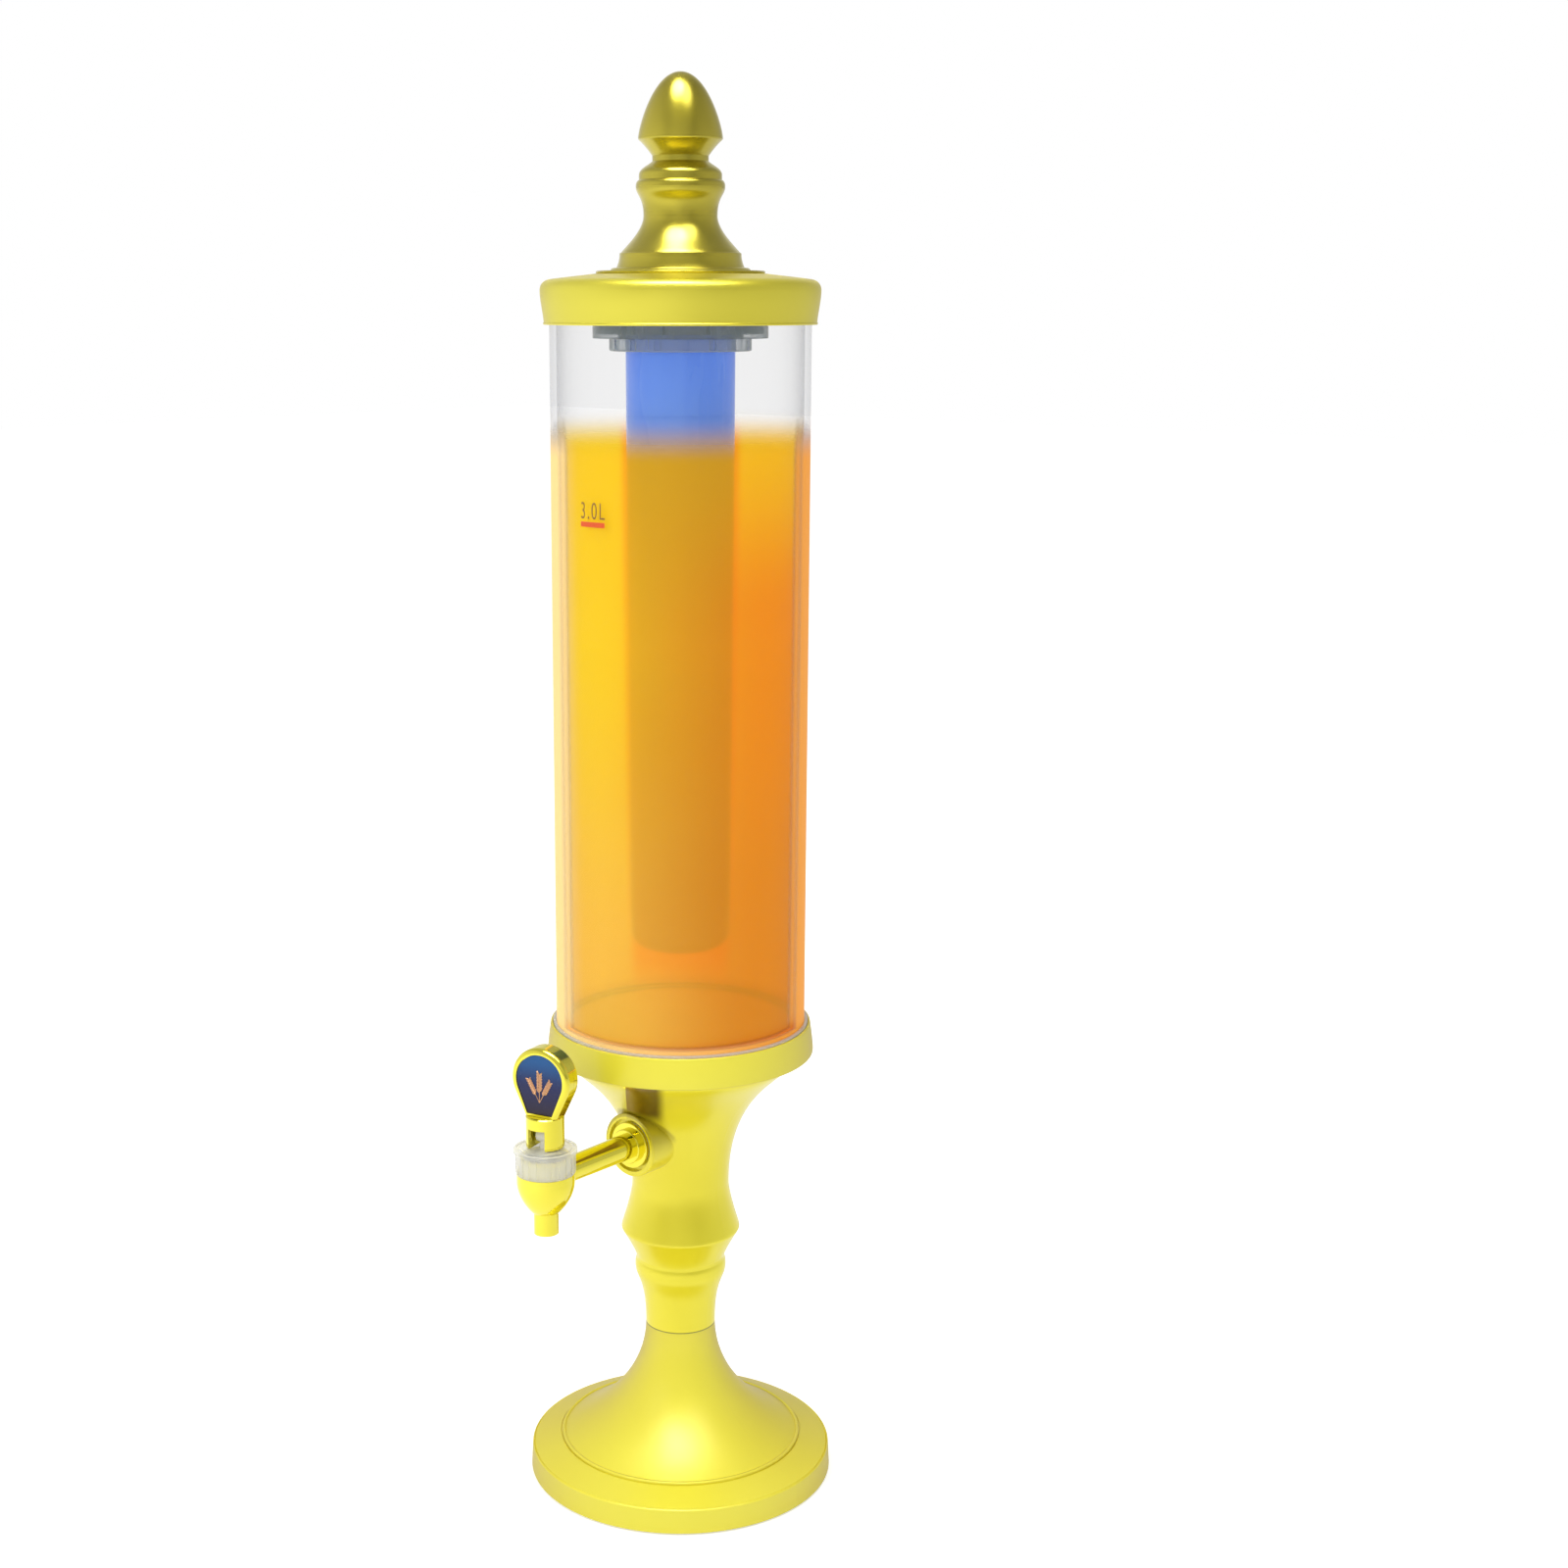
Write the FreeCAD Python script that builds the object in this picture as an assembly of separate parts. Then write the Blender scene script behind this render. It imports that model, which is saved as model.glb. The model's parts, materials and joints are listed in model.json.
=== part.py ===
"""Beer tower dispenser: a clear reservoir tube on a turned gold stand, with a lever tap and an ice tube.

Millimetres. +Z is up, the origin is the centre of the face that stands on the table, and the tap points
along -Y. Every piece is written to parts/NAME.step by its own function. The stand is stacked from the table
upwards, so each height below is the length of one piece, and the levels are added up from them.
"""
import FreeCAD
import Part

import math
import os

Vec = FreeCAD.Vector
UP = Vec(0, 0, 1)
FRONT = Vec(0, -1, 0)
SIDE = Vec(1, 0, 0)

# ---------------------------------------------------------------- clearances
FIT_GAP = 0.2            # between pieces that are screwed, glued or pushed together
RUN_GAP = 0.25           # between pieces that move on each other
REST_GAP = 0.2           # under what only rests on its seat
PIN_GAP = 0.06           # all round a hinge pin

# ---------------------------------------------------------------- foot
FOOT_RADIUS = 78.0
FOOT_EDGE_HEIGHT = 12.0
FOOT_DRAFT = 0.6         # the edge leans in by this much
FOOT_EDGE_ROUND = 0.6
FOOT_CREASE_WIDTH = 0.7  # groove that sets the sloping top off from the edge
FOOT_CREASE_DEPTH = 0.5
FOOT_SLOPE_RISE = 5.4    # from the edge up to the skirt's groove
FOOT_WALL = 2.5
SEAM_GROOVE_WIDTH = 0.7
SEAM_GROOVE_DEPTH = 0.5
PAD_THICKNESS = 2.0
PAD_PROUD = 0.8
PAD_MARGIN = 1.4
COVER_THICKNESS = 2.0
BALLAST_RADIUS = 57.0
BALLAST_THICKNESS = 10.8
BALLAST_POCKET_RADIUS = 13.0

# ---------------------------------------------------------------- tie rod
ROD_RADIUS = 4.0
ROD_NUT_FLATS = 13.0
ROD_NUT_HEIGHT = 6.0
ROD_WASHER_RADIUS = 11.0
ROD_WASHER_THICKNESS = 1.6
INSERT_RADIUS = 6.5
INSERT_LENGTH = 14.0

# ---------------------------------------------------------------- pedestal
SKIRT_RADIUS = 62.0
SKIRT_LIP = 1.9          # height of the bead round the skirt
SKIRT_LIP_WIDTH = 1.8
SKIRT_LIP_CREASE = 0.4   # how far the trumpet starts below the bead's top
PEDESTAL_HEIGHT = 61.3
PEDESTAL_WALL = 2.5
PEDESTAL_TOP_PLATE = 4.0
WAIST_RADIUS = 17.9      # where the pedestal meets the tower body
SPIGOT_WALL = 3.0
SPIGOT_LENGTH = 7.0

# ---------------------------------------------------------------- tower body
BODY_WALL = 3.0
LOW_BEAD_RADIUS = 23.4
LOW_BEAD_HEIGHT = 31.5   # from the body's lower end to the widest part of its lower bead
LOW_BEAD_BAND = 4.0
BEAD_CREASE = 0.6
RIDGE_RADIUS = 30.3
RIDGE_HEIGHT = 53.0
RIDGE_ROUND = 2.2
NECK_RADIUS = 24.8
NECK_HEIGHT = 77.0
FLARE_RADIUS = 60.0
FLARE_HEIGHT = 147.8
FLANGE_RADIUS = 61.8
FLANGE_THICKNESS = 2.8
THROAT_RADIUS = 50.0     # the mouth of the sump
WEB_THICKNESS = 8.0
INSERT_BOSS_WALL = 3.0

# ---------------------------------------------------------------- tap shank and its boss
TAP_HEIGHT = 106.2       # shank's axis above the body's lower end
BOSS_RADIUS = 16.2
BOSS_REACH = 38.8
BOSS_RECESS_RADIUS = 13.6
BOSS_RECESS_DEPTH = 2.4
BOSS_RIM_ROUND = 0.6
PAD_REACH = 20.0         # flat face for the nut inside the sump
SHANK_RADIUS = 6.5
SHANK_BORE = 4.6
PIPE_TAPER = 0.3
HUB_RADIUS = 8.8
HUB_LENGTH = 2.6
SHANK_WASHER_RADIUS = 11.7
SHANK_WASHER_THICKNESS = 1.6
SHANK_GASKET_RADIUS = 11.2
SHANK_GASKET_THICKNESS = 1.2
SHANK_NUT_FLATS = 21.0
SHANK_NUT_HEIGHT = 5.0
INNER_GASKET_THICKNESS = 1.4
SHANK_TAIL = 1.2         # thread that shows past the nut
PORT_RADIUS = 3.0        # from the pipe into the valve chamber
PORT_DROP = 1.6          # the port's axis lies this much under the pipe's
PORT_WALL = 2.0
SADDLE_GAP = 0.7         # round the bonnet, where the pipe is cut away

# ---------------------------------------------------------------- tap
TAP_REACH = 98.5         # tap's axis from the tower's axis
SPOUT_RADIUS = 6.0
SPOUT_BORE = 3.9
SPOUT_LENGTH = 10.7
BULB_FOOT_RADIUS = 7.1
BULB_RADIUS = 14.1
BULB_HEIGHT = 15.8
BULB_BAND = 4.2
TAP_NECK_RADIUS = 12.3
TAP_NECK_HEIGHT = 8.3
CHAMBER_RADIUS = 10.4
SEAT_HEIGHT = 17.0       # valve seat above the spout's mouth
SEAT_LIP = 0.8
SEAT_LIP_WALL = 1.2

BONNET_SKIRT_RADIUS = 14.2
BONNET_FLANGE_RADIUS = 15.4
BONNET_FLANGE_THICKNESS = 2.2
BONNET_SKIRT_HEIGHT = 8.4
BONNET_PLATE = 4.3
BONNET_LIP_WIDTH = 1.4
BONNET_DISH = 0.9
BONNET_RIBS = 22
BONNET_RIB_WIDTH = 1.5
BONNET_RIB_DEPTH = 0.35

STEM_RADIUS = 2.6
STEM_EYE_RADIUS = 3.6
STEM_EYE_WIDTH = 6.4
STEM_COLLAR_RADIUS = 5.4
STEM_COLLAR_THICKNESS = 1.4
STEM_TIP_LENGTH = 2.6
PLUG_RADIUS = 6.6
PLUG_HEIGHT = 4.4
SPRING_RADIUS = 4.3      # to the middle of the wire
SPRING_WIRE = 0.4        # wire radius
SPRING_TURNS = 6
STEM_SEAL_RADIUS = 4.4
STEM_SEAL_THICKNESS = 1.8

# ---------------------------------------------------------------- lever
LEVER_TURN = 13.0        # degrees that the stem and the lever stand turned in the bonnet, seen from above
PIVOT_ABOVE_BONNET = 6.0
LEVER_LIFT_GAP = 0.4     # under the fork, so that its heels turn freely
FORK_RADIUS = 9.3
FORK_HEIGHT = 15.8
FORK_HEEL_ROUND = 1.0
FORK_SLOT_WIDTH = 9.0
FORK_SLOT_HEIGHT = 10.1
FORK_BACK_WALL = 2.6
PIN_RADIUS = 1.5
PIN_BLIND_END = 7.4      # where its hole stops, from the tap's axis
PIN_SHY = 0.5            # its end is below the fork's surface
PADDLE_RADIUS = 15.7
PADDLE_CENTRE = 33.9     # above the fork's foot
PADDLE_FOOT_HALF = 8.2
PADDLE_THICKNESS = 11.4
PADDLE_SET_BACK = 0.5    # its middle, behind the fork's axis
PADDLE_EDGE_ROUND = 2.4
PADDLE_REAR_SHARE = 5.2  # thickness of the half that carries the fork
BADGE_MARGIN = 2.95
BADGE_FOOT_HALF = 6.8
BADGE_CHIN = 2.2         # rim left under the badge
BADGE_POCKET = 1.6
BADGE_THICKNESS = 1.1
PADDLE_SCREW_RADIUS = 1.2
PADDLE_SCREW_HEAD = 2.3
PADDLE_SCREW_LENGTH = 6.4
PADDLE_SCREW_HEAD_HEIGHT = 1.4
PADDLE_SCREW_SPACING = 14.0

# ---------------------------------------------------------------- seat ring and end cup
RING_RADIUS = 67.1
RING_TOP_RADIUS = 65.5
RING_LIP = 2.5
RING_EDGE_ROUND = 0.7
RING_COVER = 2.4         # how far the ring stands up round the cup's lip
GASKET_THICKNESS = 1.5
CUP_SKIRT_RADIUS = 61.6
CUP_SKIRT_WALL = 5.0
CUP_SKIRT_HEIGHT = 5.8
CUP_FLOOR = 2.4
CUP_LIP_RADIUS = 64.3
CUP_LIP_HEIGHT = 2.0
CUP_LIP_BASE = 1.4
DRAIN_RADIUS = 11.0
DRAIN_WALL = 2.5
DRAIN_LENGTH = 12.0

# ---------------------------------------------------------------- reservoir tube
TUBE_RADIUS = 62.5
TUBE_WALL = 3.25
TUBE_LENGTH = 360.0

# ---------------------------------------------------------------- lid
LID_DEPTH = 14.6         # how far the skirt comes down over the tube
LID_FOOT_RADIUS = 65.0
LID_BEAD = 0.35
LID_BEAD_HEIGHT = 1.2
LID_RADIUS = 66.8
LID_WALL = 1.9
LID_SHOULDER_ROUND = 5.4
LID_CEILING = 2.4        # room above the tube for the seal
LID_TOP_THICKNESS = 4.0
LID_DOME_RISE = 2.4
LID_SEAT_RADIUS = 41.0

# ---------------------------------------------------------------- finial
FINIAL_PLATE_RADIUS = 40.2
FINIAL_PLATE_THICKNESS = 1.4
FINIAL_STEP_RADIUS = 33.2
FINIAL_STEP_HEIGHT = 1.4
FINIAL_FOOT_RADIUS = 30.4
FINIAL_FOOT_TOP_RADIUS = 28.2
FINIAL_FOOT_HEIGHT = 9.7
FOOT_BEAD_EDGE = 0.7
FINIAL_WAIST_RADIUS = 17.5
FINIAL_WAIST_HEIGHT = 26.8
FINIAL_BEAD_RADIUS = 21.1
FINIAL_BEAD_HEIGHT = 39.9
FINIAL_COLLAR_RADIUS = 19.6
FINIAL_COLLAR_HEIGHT = 45.4
FINIAL_NECK_RADIUS = 13.3
FINIAL_NECK_HEIGHT = 51.6
FINIAL_NECK_BAND = 2.4
FINIAL_WALL = 3.0
ACORN_BASE_HEIGHT = 6.9
ACORN_SHOULDER = 1.2
ACORN_RADIUS = 19.9
ACORN_HEIGHT = 38.2
ACORN_WALL = 3.2
ACORN_NOSE = 13.0        # how blunt the tip is
STUD_RADIUS = 3.0
STUD_NUT_FLATS = 10.0
STUD_NUT_HEIGHT = 5.0
STUD_WASHER_RADIUS = 9.0
STUD_WASHER_THICKNESS = 1.6
STUD_GRIP = 14.0         # thread in the acorn
STUD_BOSS_WALL = 3.5

# ---------------------------------------------------------------- ice tube and its holder
HOLDER_RADIUS = 41.9
HOLDER_DROP = 6.3        # how far the holder shows under the lid's edge
HOLDER_WALL = 2.0
HOLDER_RIBS = 12
HOLDER_RIB_WIDTH = 1.4
COLLAR_RADIUS = 34.0
COLLAR_GRIP_HEIGHT = 5.8
COLLAR_NECK_LENGTH = 12.0
COLLAR_NECK_WALL = 3.2
COLLAR_GRIPS = 16
COLLAR_GRIP_WIDTH = 3.0
COLLAR_GRIP_DEPTH = 0.8
LUG_REACH = 1.2
LUG_HEIGHT = 2.4
LUG_WIDTH = 5.0
LUG_COUNT = 3
ORING_SECTION = 1.2
ICE_RADIUS = 26.2
ICE_FOOT_RADIUS = 24.9
ICE_WALL = 1.8
ICE_LENGTH = 311.0
ICE_FOOT_ROUND = 8.0
ICE_PLUG_IN = 18.0       # length that sits in the collar

# ---------------------------------------------------------------- levels, from the table upwards
Z_FOOT = PAD_PROUD
Z_FOOT_EDGE = Z_FOOT + FOOT_EDGE_HEIGHT
Z_FOOT_TOP = Z_FOOT_EDGE + FOOT_SLOPE_RISE
Z_SKIRT = Z_FOOT_TOP - SEAM_GROOVE_DEPTH
Z_WEB_UNDER = Z_SKIRT - FOOT_WALL
Z_COVER = PAD_THICKNESS
Z_BODY = Z_SKIRT + PEDESTAL_HEIGHT
Z_BEAD = Z_BODY + LOW_BEAD_HEIGHT
Z_RIDGE = Z_BODY + RIDGE_HEIGHT
Z_NECK = Z_BODY + NECK_HEIGHT
Z_TAP = Z_BODY + TAP_HEIGHT
Z_RING = Z_BODY + FLARE_HEIGHT
Z_FLANGE = Z_RING + RING_LIP + FIT_GAP
Z_FLANGE_TOP = Z_FLANGE + FLANGE_THICKNESS
Z_CUP = Z_FLANGE_TOP + GASKET_THICKNESS
Z_LIP = Z_CUP + CUP_SKIRT_HEIGHT
Z_RING_TOP = Z_LIP + RING_COVER
Z_FLOOR = Z_LIP + CUP_LIP_BASE
Z_TUBE_TOP = Z_FLOOR + TUBE_LENGTH
Z_LID = Z_TUBE_TOP - LID_DEPTH
Z_CEILING = Z_TUBE_TOP + REST_GAP + LID_CEILING
Z_LID_SHOULDER = Z_CEILING + LID_TOP_THICKNESS
Z_LID_TOP = Z_LID_SHOULDER + LID_DOME_RISE
Z_FINIAL_NECK = Z_LID_TOP + FINIAL_NECK_HEIGHT
Z_ACORN = Z_FINIAL_NECK + FINIAL_NECK_BAND
Z_HOLDER = Z_LID - HOLDER_DROP
Z_COLLAR = Z_HOLDER - RUN_GAP - COLLAR_GRIP_HEIGHT
Z_ICE_TOP = Z_COLLAR + ICE_PLUG_IN
Z_ICE_FOOT = Z_ICE_TOP - ICE_LENGTH
Z_DRY_TOP = Z_RIDGE - RIDGE_ROUND - WEB_THICKNESS / 2
Z_SUMP = Z_DRY_TOP + WEB_THICKNESS
Z_INSERT = Z_DRY_TOP - INSERT_LENGTH

# levels of the tap, from the shank's axis
Z_SPOUT = Z_TAP - SPOUT_LENGTH - BULB_HEIGHT - FIT_GAP * 4
Z_BULB = Z_SPOUT + SPOUT_LENGTH
Z_BULB_TOP = Z_BULB + BULB_HEIGHT + BULB_BAND
Z_TAP_NECK_TOP = Z_BULB_TOP + TAP_NECK_HEIGHT
Z_SEAT = Z_SPOUT + SEAT_HEIGHT
Z_BONNET = Z_BULB_TOP + FIT_GAP
Z_BONNET_PLATE = Z_BONNET + BONNET_SKIRT_HEIGHT
Z_BONNET_TOP = Z_BONNET_PLATE + BONNET_PLATE
Z_PIVOT = Z_BONNET_TOP + PIVOT_ABOVE_BONNET
Z_FORK = Z_BONNET_TOP + LEVER_LIFT_GAP
Z_PADDLE = Z_FORK + PADDLE_CENTRE
Z_PLUG_TOP = Z_SEAT + SEAT_LIP + PLUG_HEIGHT

TAP_AXIS = Vec(0, -TAP_REACH, 0)
SPIGOT_RADIUS = WAIST_RADIUS - BODY_WALL - FIT_GAP
SOCKET_RADIUS = WAIST_RADIUS - BODY_WALL
TUBE_BORE = TUBE_RADIUS - TUBE_WALL
COLLAR_BORE = ICE_RADIUS + RUN_GAP
COLLAR_NECK_RADIUS = COLLAR_BORE + COLLAR_NECK_WALL
HOLDER_BORE = COLLAR_NECK_RADIUS + RUN_GAP


# ---------------------------------------------------------------- helpers
def at(radius, height):
    """A point of a turned outline, in the plane y = 0."""
    return Vec(radius, 0, height)


def line(start, end):
    return Part.LineSegment(start, end).toShape()


def arc(start, middle, end):
    return Part.Arc(start, middle, end).toShape()


def swell(start, leave, end, arrive):
    """A smooth curve from start, leaving along one vector, to end, arriving along another.

    The lengths of the vectors set how full it is."""
    curve = Part.BezierCurve()
    curve.setPoles([start, start + leave, end - arrive, end])
    return curve.toShape()


def corner(start, tip, end):
    """A rounded corner between two points that lie either side of a sharp tip."""
    curve = Part.BezierCurve()
    curve.setPoles([start, tip, end])
    return curve.toShape()


def backwards(edge):
    """The same smooth curve, run from its other end."""
    curve = Part.BezierCurve()
    curve.setPoles(list(reversed(edge.Curve.getPoles())))
    return curve.toShape()


def turned(steps):
    """The solid turned from a closed outline about Z. A step is a point, joined by a line, or an edge."""
    edges = []
    here = None
    first = None
    for step in steps:
        if isinstance(step, FreeCAD.Vector):
            start, end, edge = step, step, None
        else:
            start, end, edge = step.firstVertex().Point, step.lastVertex().Point, step
            if step.Orientation == "Reversed":
                start, end = end, start
        if first is None:
            first = start
        elif (start - here).Length > 1e-7:
            edges.append(line(here, start))
        if edge is not None:
            edges.append(edge)
        here = end
    if (first - here).Length > 1e-7:
        edges.append(line(here, first))
    return Part.Face(Part.Wire(edges)).revolve(Vec(0, 0, 0), UP, 360)


def disc(radius, low, high, centre=Vec(0, 0, 0)):
    return Part.makeCylinder(radius, high - low, centre + Vec(0, 0, low), UP)


def ring(outer, inner, low, high, centre=Vec(0, 0, 0)):
    return disc(outer, low, high, centre).cut(disc(inner, low - 1, high + 1, centre))


def along_front(radius, near, far, height):
    """A cylinder along the shank's axis, from near to far in front of the tower's axis."""
    return Part.makeCylinder(radius, far - near, Vec(0, -near, height), FRONT)


def front_ring(outer, inner, near, far, height):
    return along_front(outer, near, far, height).cut(along_front(inner, near - 1, far + 1, height))


def block(x_low, x_high, y_low, y_high, z_low, z_high):
    return Part.makeBox(x_high - x_low, y_high - y_low, z_high - z_low, Vec(x_low, y_low, z_low))


def hexagon(flats, height):
    """A hexagonal prism standing on z = 0."""
    radius = flats / 2 / math.cos(math.pi / 6)
    turns = [k * math.pi / 3 for k in range(7)]
    corners = [Vec(radius * math.cos(turn), radius * math.sin(turn), 0) for turn in turns]
    return Part.Face(Part.makePolygon(corners)).extrude(Vec(0, 0, height))


def nut(flats, bore, height):
    """A hexagonal nut standing on z = 0, with its corners turned off."""
    across = flats / 2 / math.cos(math.pi / 6)
    bevel = across - flats / 2
    blank = turned([
        at(bore, 0),
        at(across - bevel, 0),
        at(across, bevel / 2),
        at(across, height - bevel / 2),
        at(across - bevel, height),
        at(bore, height),
    ])
    return hexagon(flats, height).common(blank)


def around(shape, count, centre=Vec(0, 0, 0)):
    """Copies of a shape, evenly spaced about a vertical axis."""
    copies = []
    for k in range(count):
        copy = shape.copy()
        copy.rotate(centre, UP, 360.0 * k / count)
        copies.append(copy)
    return copies


def joined(shape, others):
    return shape.fuse(others).removeSplitter()


def save(name, shape):
    for solid in shape.Solids:
        if not solid.isValid() or solid.Volume <= 0:
            raise ValueError(name + " holds a solid that is not valid")
    shape = shape.Solids[0] if len(shape.Solids) == 1 else Part.makeCompound(shape.Solids)
    shape.exportStep(os.path.join("parts", name + ".step"))


# ---------------------------------------------------------------- foot
def foot_plate():
    """Turned foot shell: a drafted edge, a sloping top and a flat web that the pedestal stands on."""
    edge_top = FOOT_RADIUS - FOOT_DRAFT
    slope_end = SKIRT_RADIUS + SEAM_GROOVE_WIDTH
    slope = FOOT_SLOPE_RISE / (edge_top - slope_end)
    inner_edge = FOOT_RADIUS - FOOT_WALL
    crease = edge_top - FOOT_EDGE_ROUND

    def on_slope(radius, sunk=0):
        return at(radius, Z_FOOT_EDGE + slope * (edge_top - radius) - sunk)

    return turned([
        at(FOOT_RADIUS, Z_FOOT),
        at(edge_top, Z_FOOT_EDGE - FOOT_EDGE_ROUND),
        corner(at(edge_top, Z_FOOT_EDGE - FOOT_EDGE_ROUND), at(edge_top, Z_FOOT_EDGE), on_slope(crease)),
        on_slope(crease - FOOT_CREASE_WIDTH / 2, FOOT_CREASE_DEPTH),
        on_slope(crease - FOOT_CREASE_WIDTH),
        at(slope_end, Z_FOOT_TOP),
        at(slope_end, Z_SKIRT),
        at(ROD_RADIUS + FIT_GAP, Z_SKIRT),
        at(ROD_RADIUS + FIT_GAP, Z_WEB_UNDER),
        at(slope_end, Z_WEB_UNDER),
        at(inner_edge - FOOT_DRAFT, Z_FOOT_EDGE - FOOT_WALL),
        at(inner_edge, Z_FOOT),
    ])


def foot_cover():
    return disc(FOOT_RADIUS - FOOT_WALL - FOOT_DRAFT - FIT_GAP, Z_COVER, Z_COVER + COVER_THICKNESS)


def foot_pad():
    return disc(FOOT_RADIUS - FOOT_WALL - PAD_MARGIN, 0, PAD_THICKNESS)


def ballast_disc():
    """Cast disc under the web of the foot, with a pocket for the rod's nut and washer."""
    under = Z_WEB_UNDER - BALLAST_THICKNESS
    blank = ring(BALLAST_RADIUS, ROD_RADIUS + FIT_GAP, under, Z_WEB_UNDER)
    return blank.cut(disc(BALLAST_POCKET_RADIUS, under - 1, pocket_top()))


def pocket_top():
    """Level of the flat in the ballast that the rod's washer is pulled up against."""
    return Z_WEB_UNDER - BALLAST_THICKNESS + ROD_NUT_HEIGHT + ROD_WASHER_THICKNESS + FIT_GAP


def rod_washer():
    top = pocket_top()
    return ring(ROD_WASHER_RADIUS, ROD_RADIUS + FIT_GAP, top - ROD_WASHER_THICKNESS, top)


def rod_nut():
    shape = nut(ROD_NUT_FLATS, ROD_RADIUS + PIN_GAP, ROD_NUT_HEIGHT)
    shape.translate(Vec(0, 0, pocket_top() - ROD_WASHER_THICKNESS - ROD_NUT_HEIGHT))
    return shape


def tie_rod():
    """Threaded rod from the nut in the ballast up into the insert of the tower body."""
    low = pocket_top() - ROD_WASHER_THICKNESS - ROD_NUT_HEIGHT
    rod = disc(ROD_RADIUS, low, Z_INSERT + INSERT_LENGTH - FIT_GAP)
    rims = [e for e in rod.Edges if abs(e.Length - 2 * math.pi * ROD_RADIUS) < 1e-6]
    return rod.makeChamfer(ROD_RADIUS / 5, rims)


def thread_insert():
    return ring(INSERT_RADIUS, ROD_RADIUS + PIN_GAP, Z_INSERT, Z_INSERT + INSERT_LENGTH)


# ---------------------------------------------------------------- pedestal
def pedestal_flare(inset, foot_height):
    """The trumpet curve of the pedestal, moved in by a wall, from its skirt to its waist."""
    foot = at(SKIRT_RADIUS - SKIRT_LIP_WIDTH - inset, foot_height)
    top = at(WAIST_RADIUS - inset, Z_BODY - (PEDESTAL_TOP_PLATE if inset else 0))
    width = foot.x - top.x
    rise = top.z - foot.z
    return swell(foot, Vec(-width * 0.80, 0, rise * 0.30), top, Vec(0, 0, rise * 0.275))


def pedestal():
    """Trumpet-shaped stand. A spigot on its top plate centres the tower body."""
    lip_top = Z_SKIRT + SKIRT_LIP
    half = SKIRT_LIP_WIDTH / 2
    crown = at(SKIRT_RADIUS - half, lip_top)
    outer = pedestal_flare(0, lip_top - SKIRT_LIP_CREASE)
    inner = pedestal_flare(PEDESTAL_WALL, Z_SKIRT)
    shell = turned([
        at(SKIRT_RADIUS, Z_SKIRT),
        at(SKIRT_RADIUS, lip_top - half),
        corner(at(SKIRT_RADIUS, lip_top - half), at(SKIRT_RADIUS, lip_top), crown),
        corner(crown, at(SKIRT_RADIUS - SKIRT_LIP_WIDTH, lip_top), outer.firstVertex().Point),
        outer,
        at(SPIGOT_RADIUS, Z_BODY),
        at(SPIGOT_RADIUS, Z_BODY + SPIGOT_LENGTH),
        at(SPIGOT_RADIUS - SPIGOT_WALL, Z_BODY + SPIGOT_LENGTH),
        at(SPIGOT_RADIUS - SPIGOT_WALL, Z_BODY),
        at(ROD_RADIUS + FIT_GAP, Z_BODY),
        at(ROD_RADIUS + FIT_GAP, Z_BODY - PEDESTAL_TOP_PLATE),
        at(WAIST_RADIUS - PEDESTAL_WALL, Z_BODY - PEDESTAL_TOP_PLATE),
        backwards(inner),
    ])
    return shell


# ---------------------------------------------------------------- tower body
def body_outline(inset):
    """The waisted outline from the ridge up to the flare's rim, moved in by a wall."""
    ridge = at(RIDGE_RADIUS - inset, Z_RIDGE)
    neck = at(NECK_RADIUS - inset, Z_NECK)
    rim = at(FLARE_RADIUS - inset, Z_RING)
    below = Z_NECK - Z_RIDGE
    above = Z_RING - Z_NECK
    spread = FLARE_RADIUS - NECK_RADIUS
    return [
        swell(ridge, Vec(-0.2, 0, below * 0.05), neck, Vec(0, 0, below * 0.32)),
        swell(neck, Vec(0, 0, above * 0.74), rim, Vec(spread * 0.02, 0, above * 0.15)),
    ]


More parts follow.
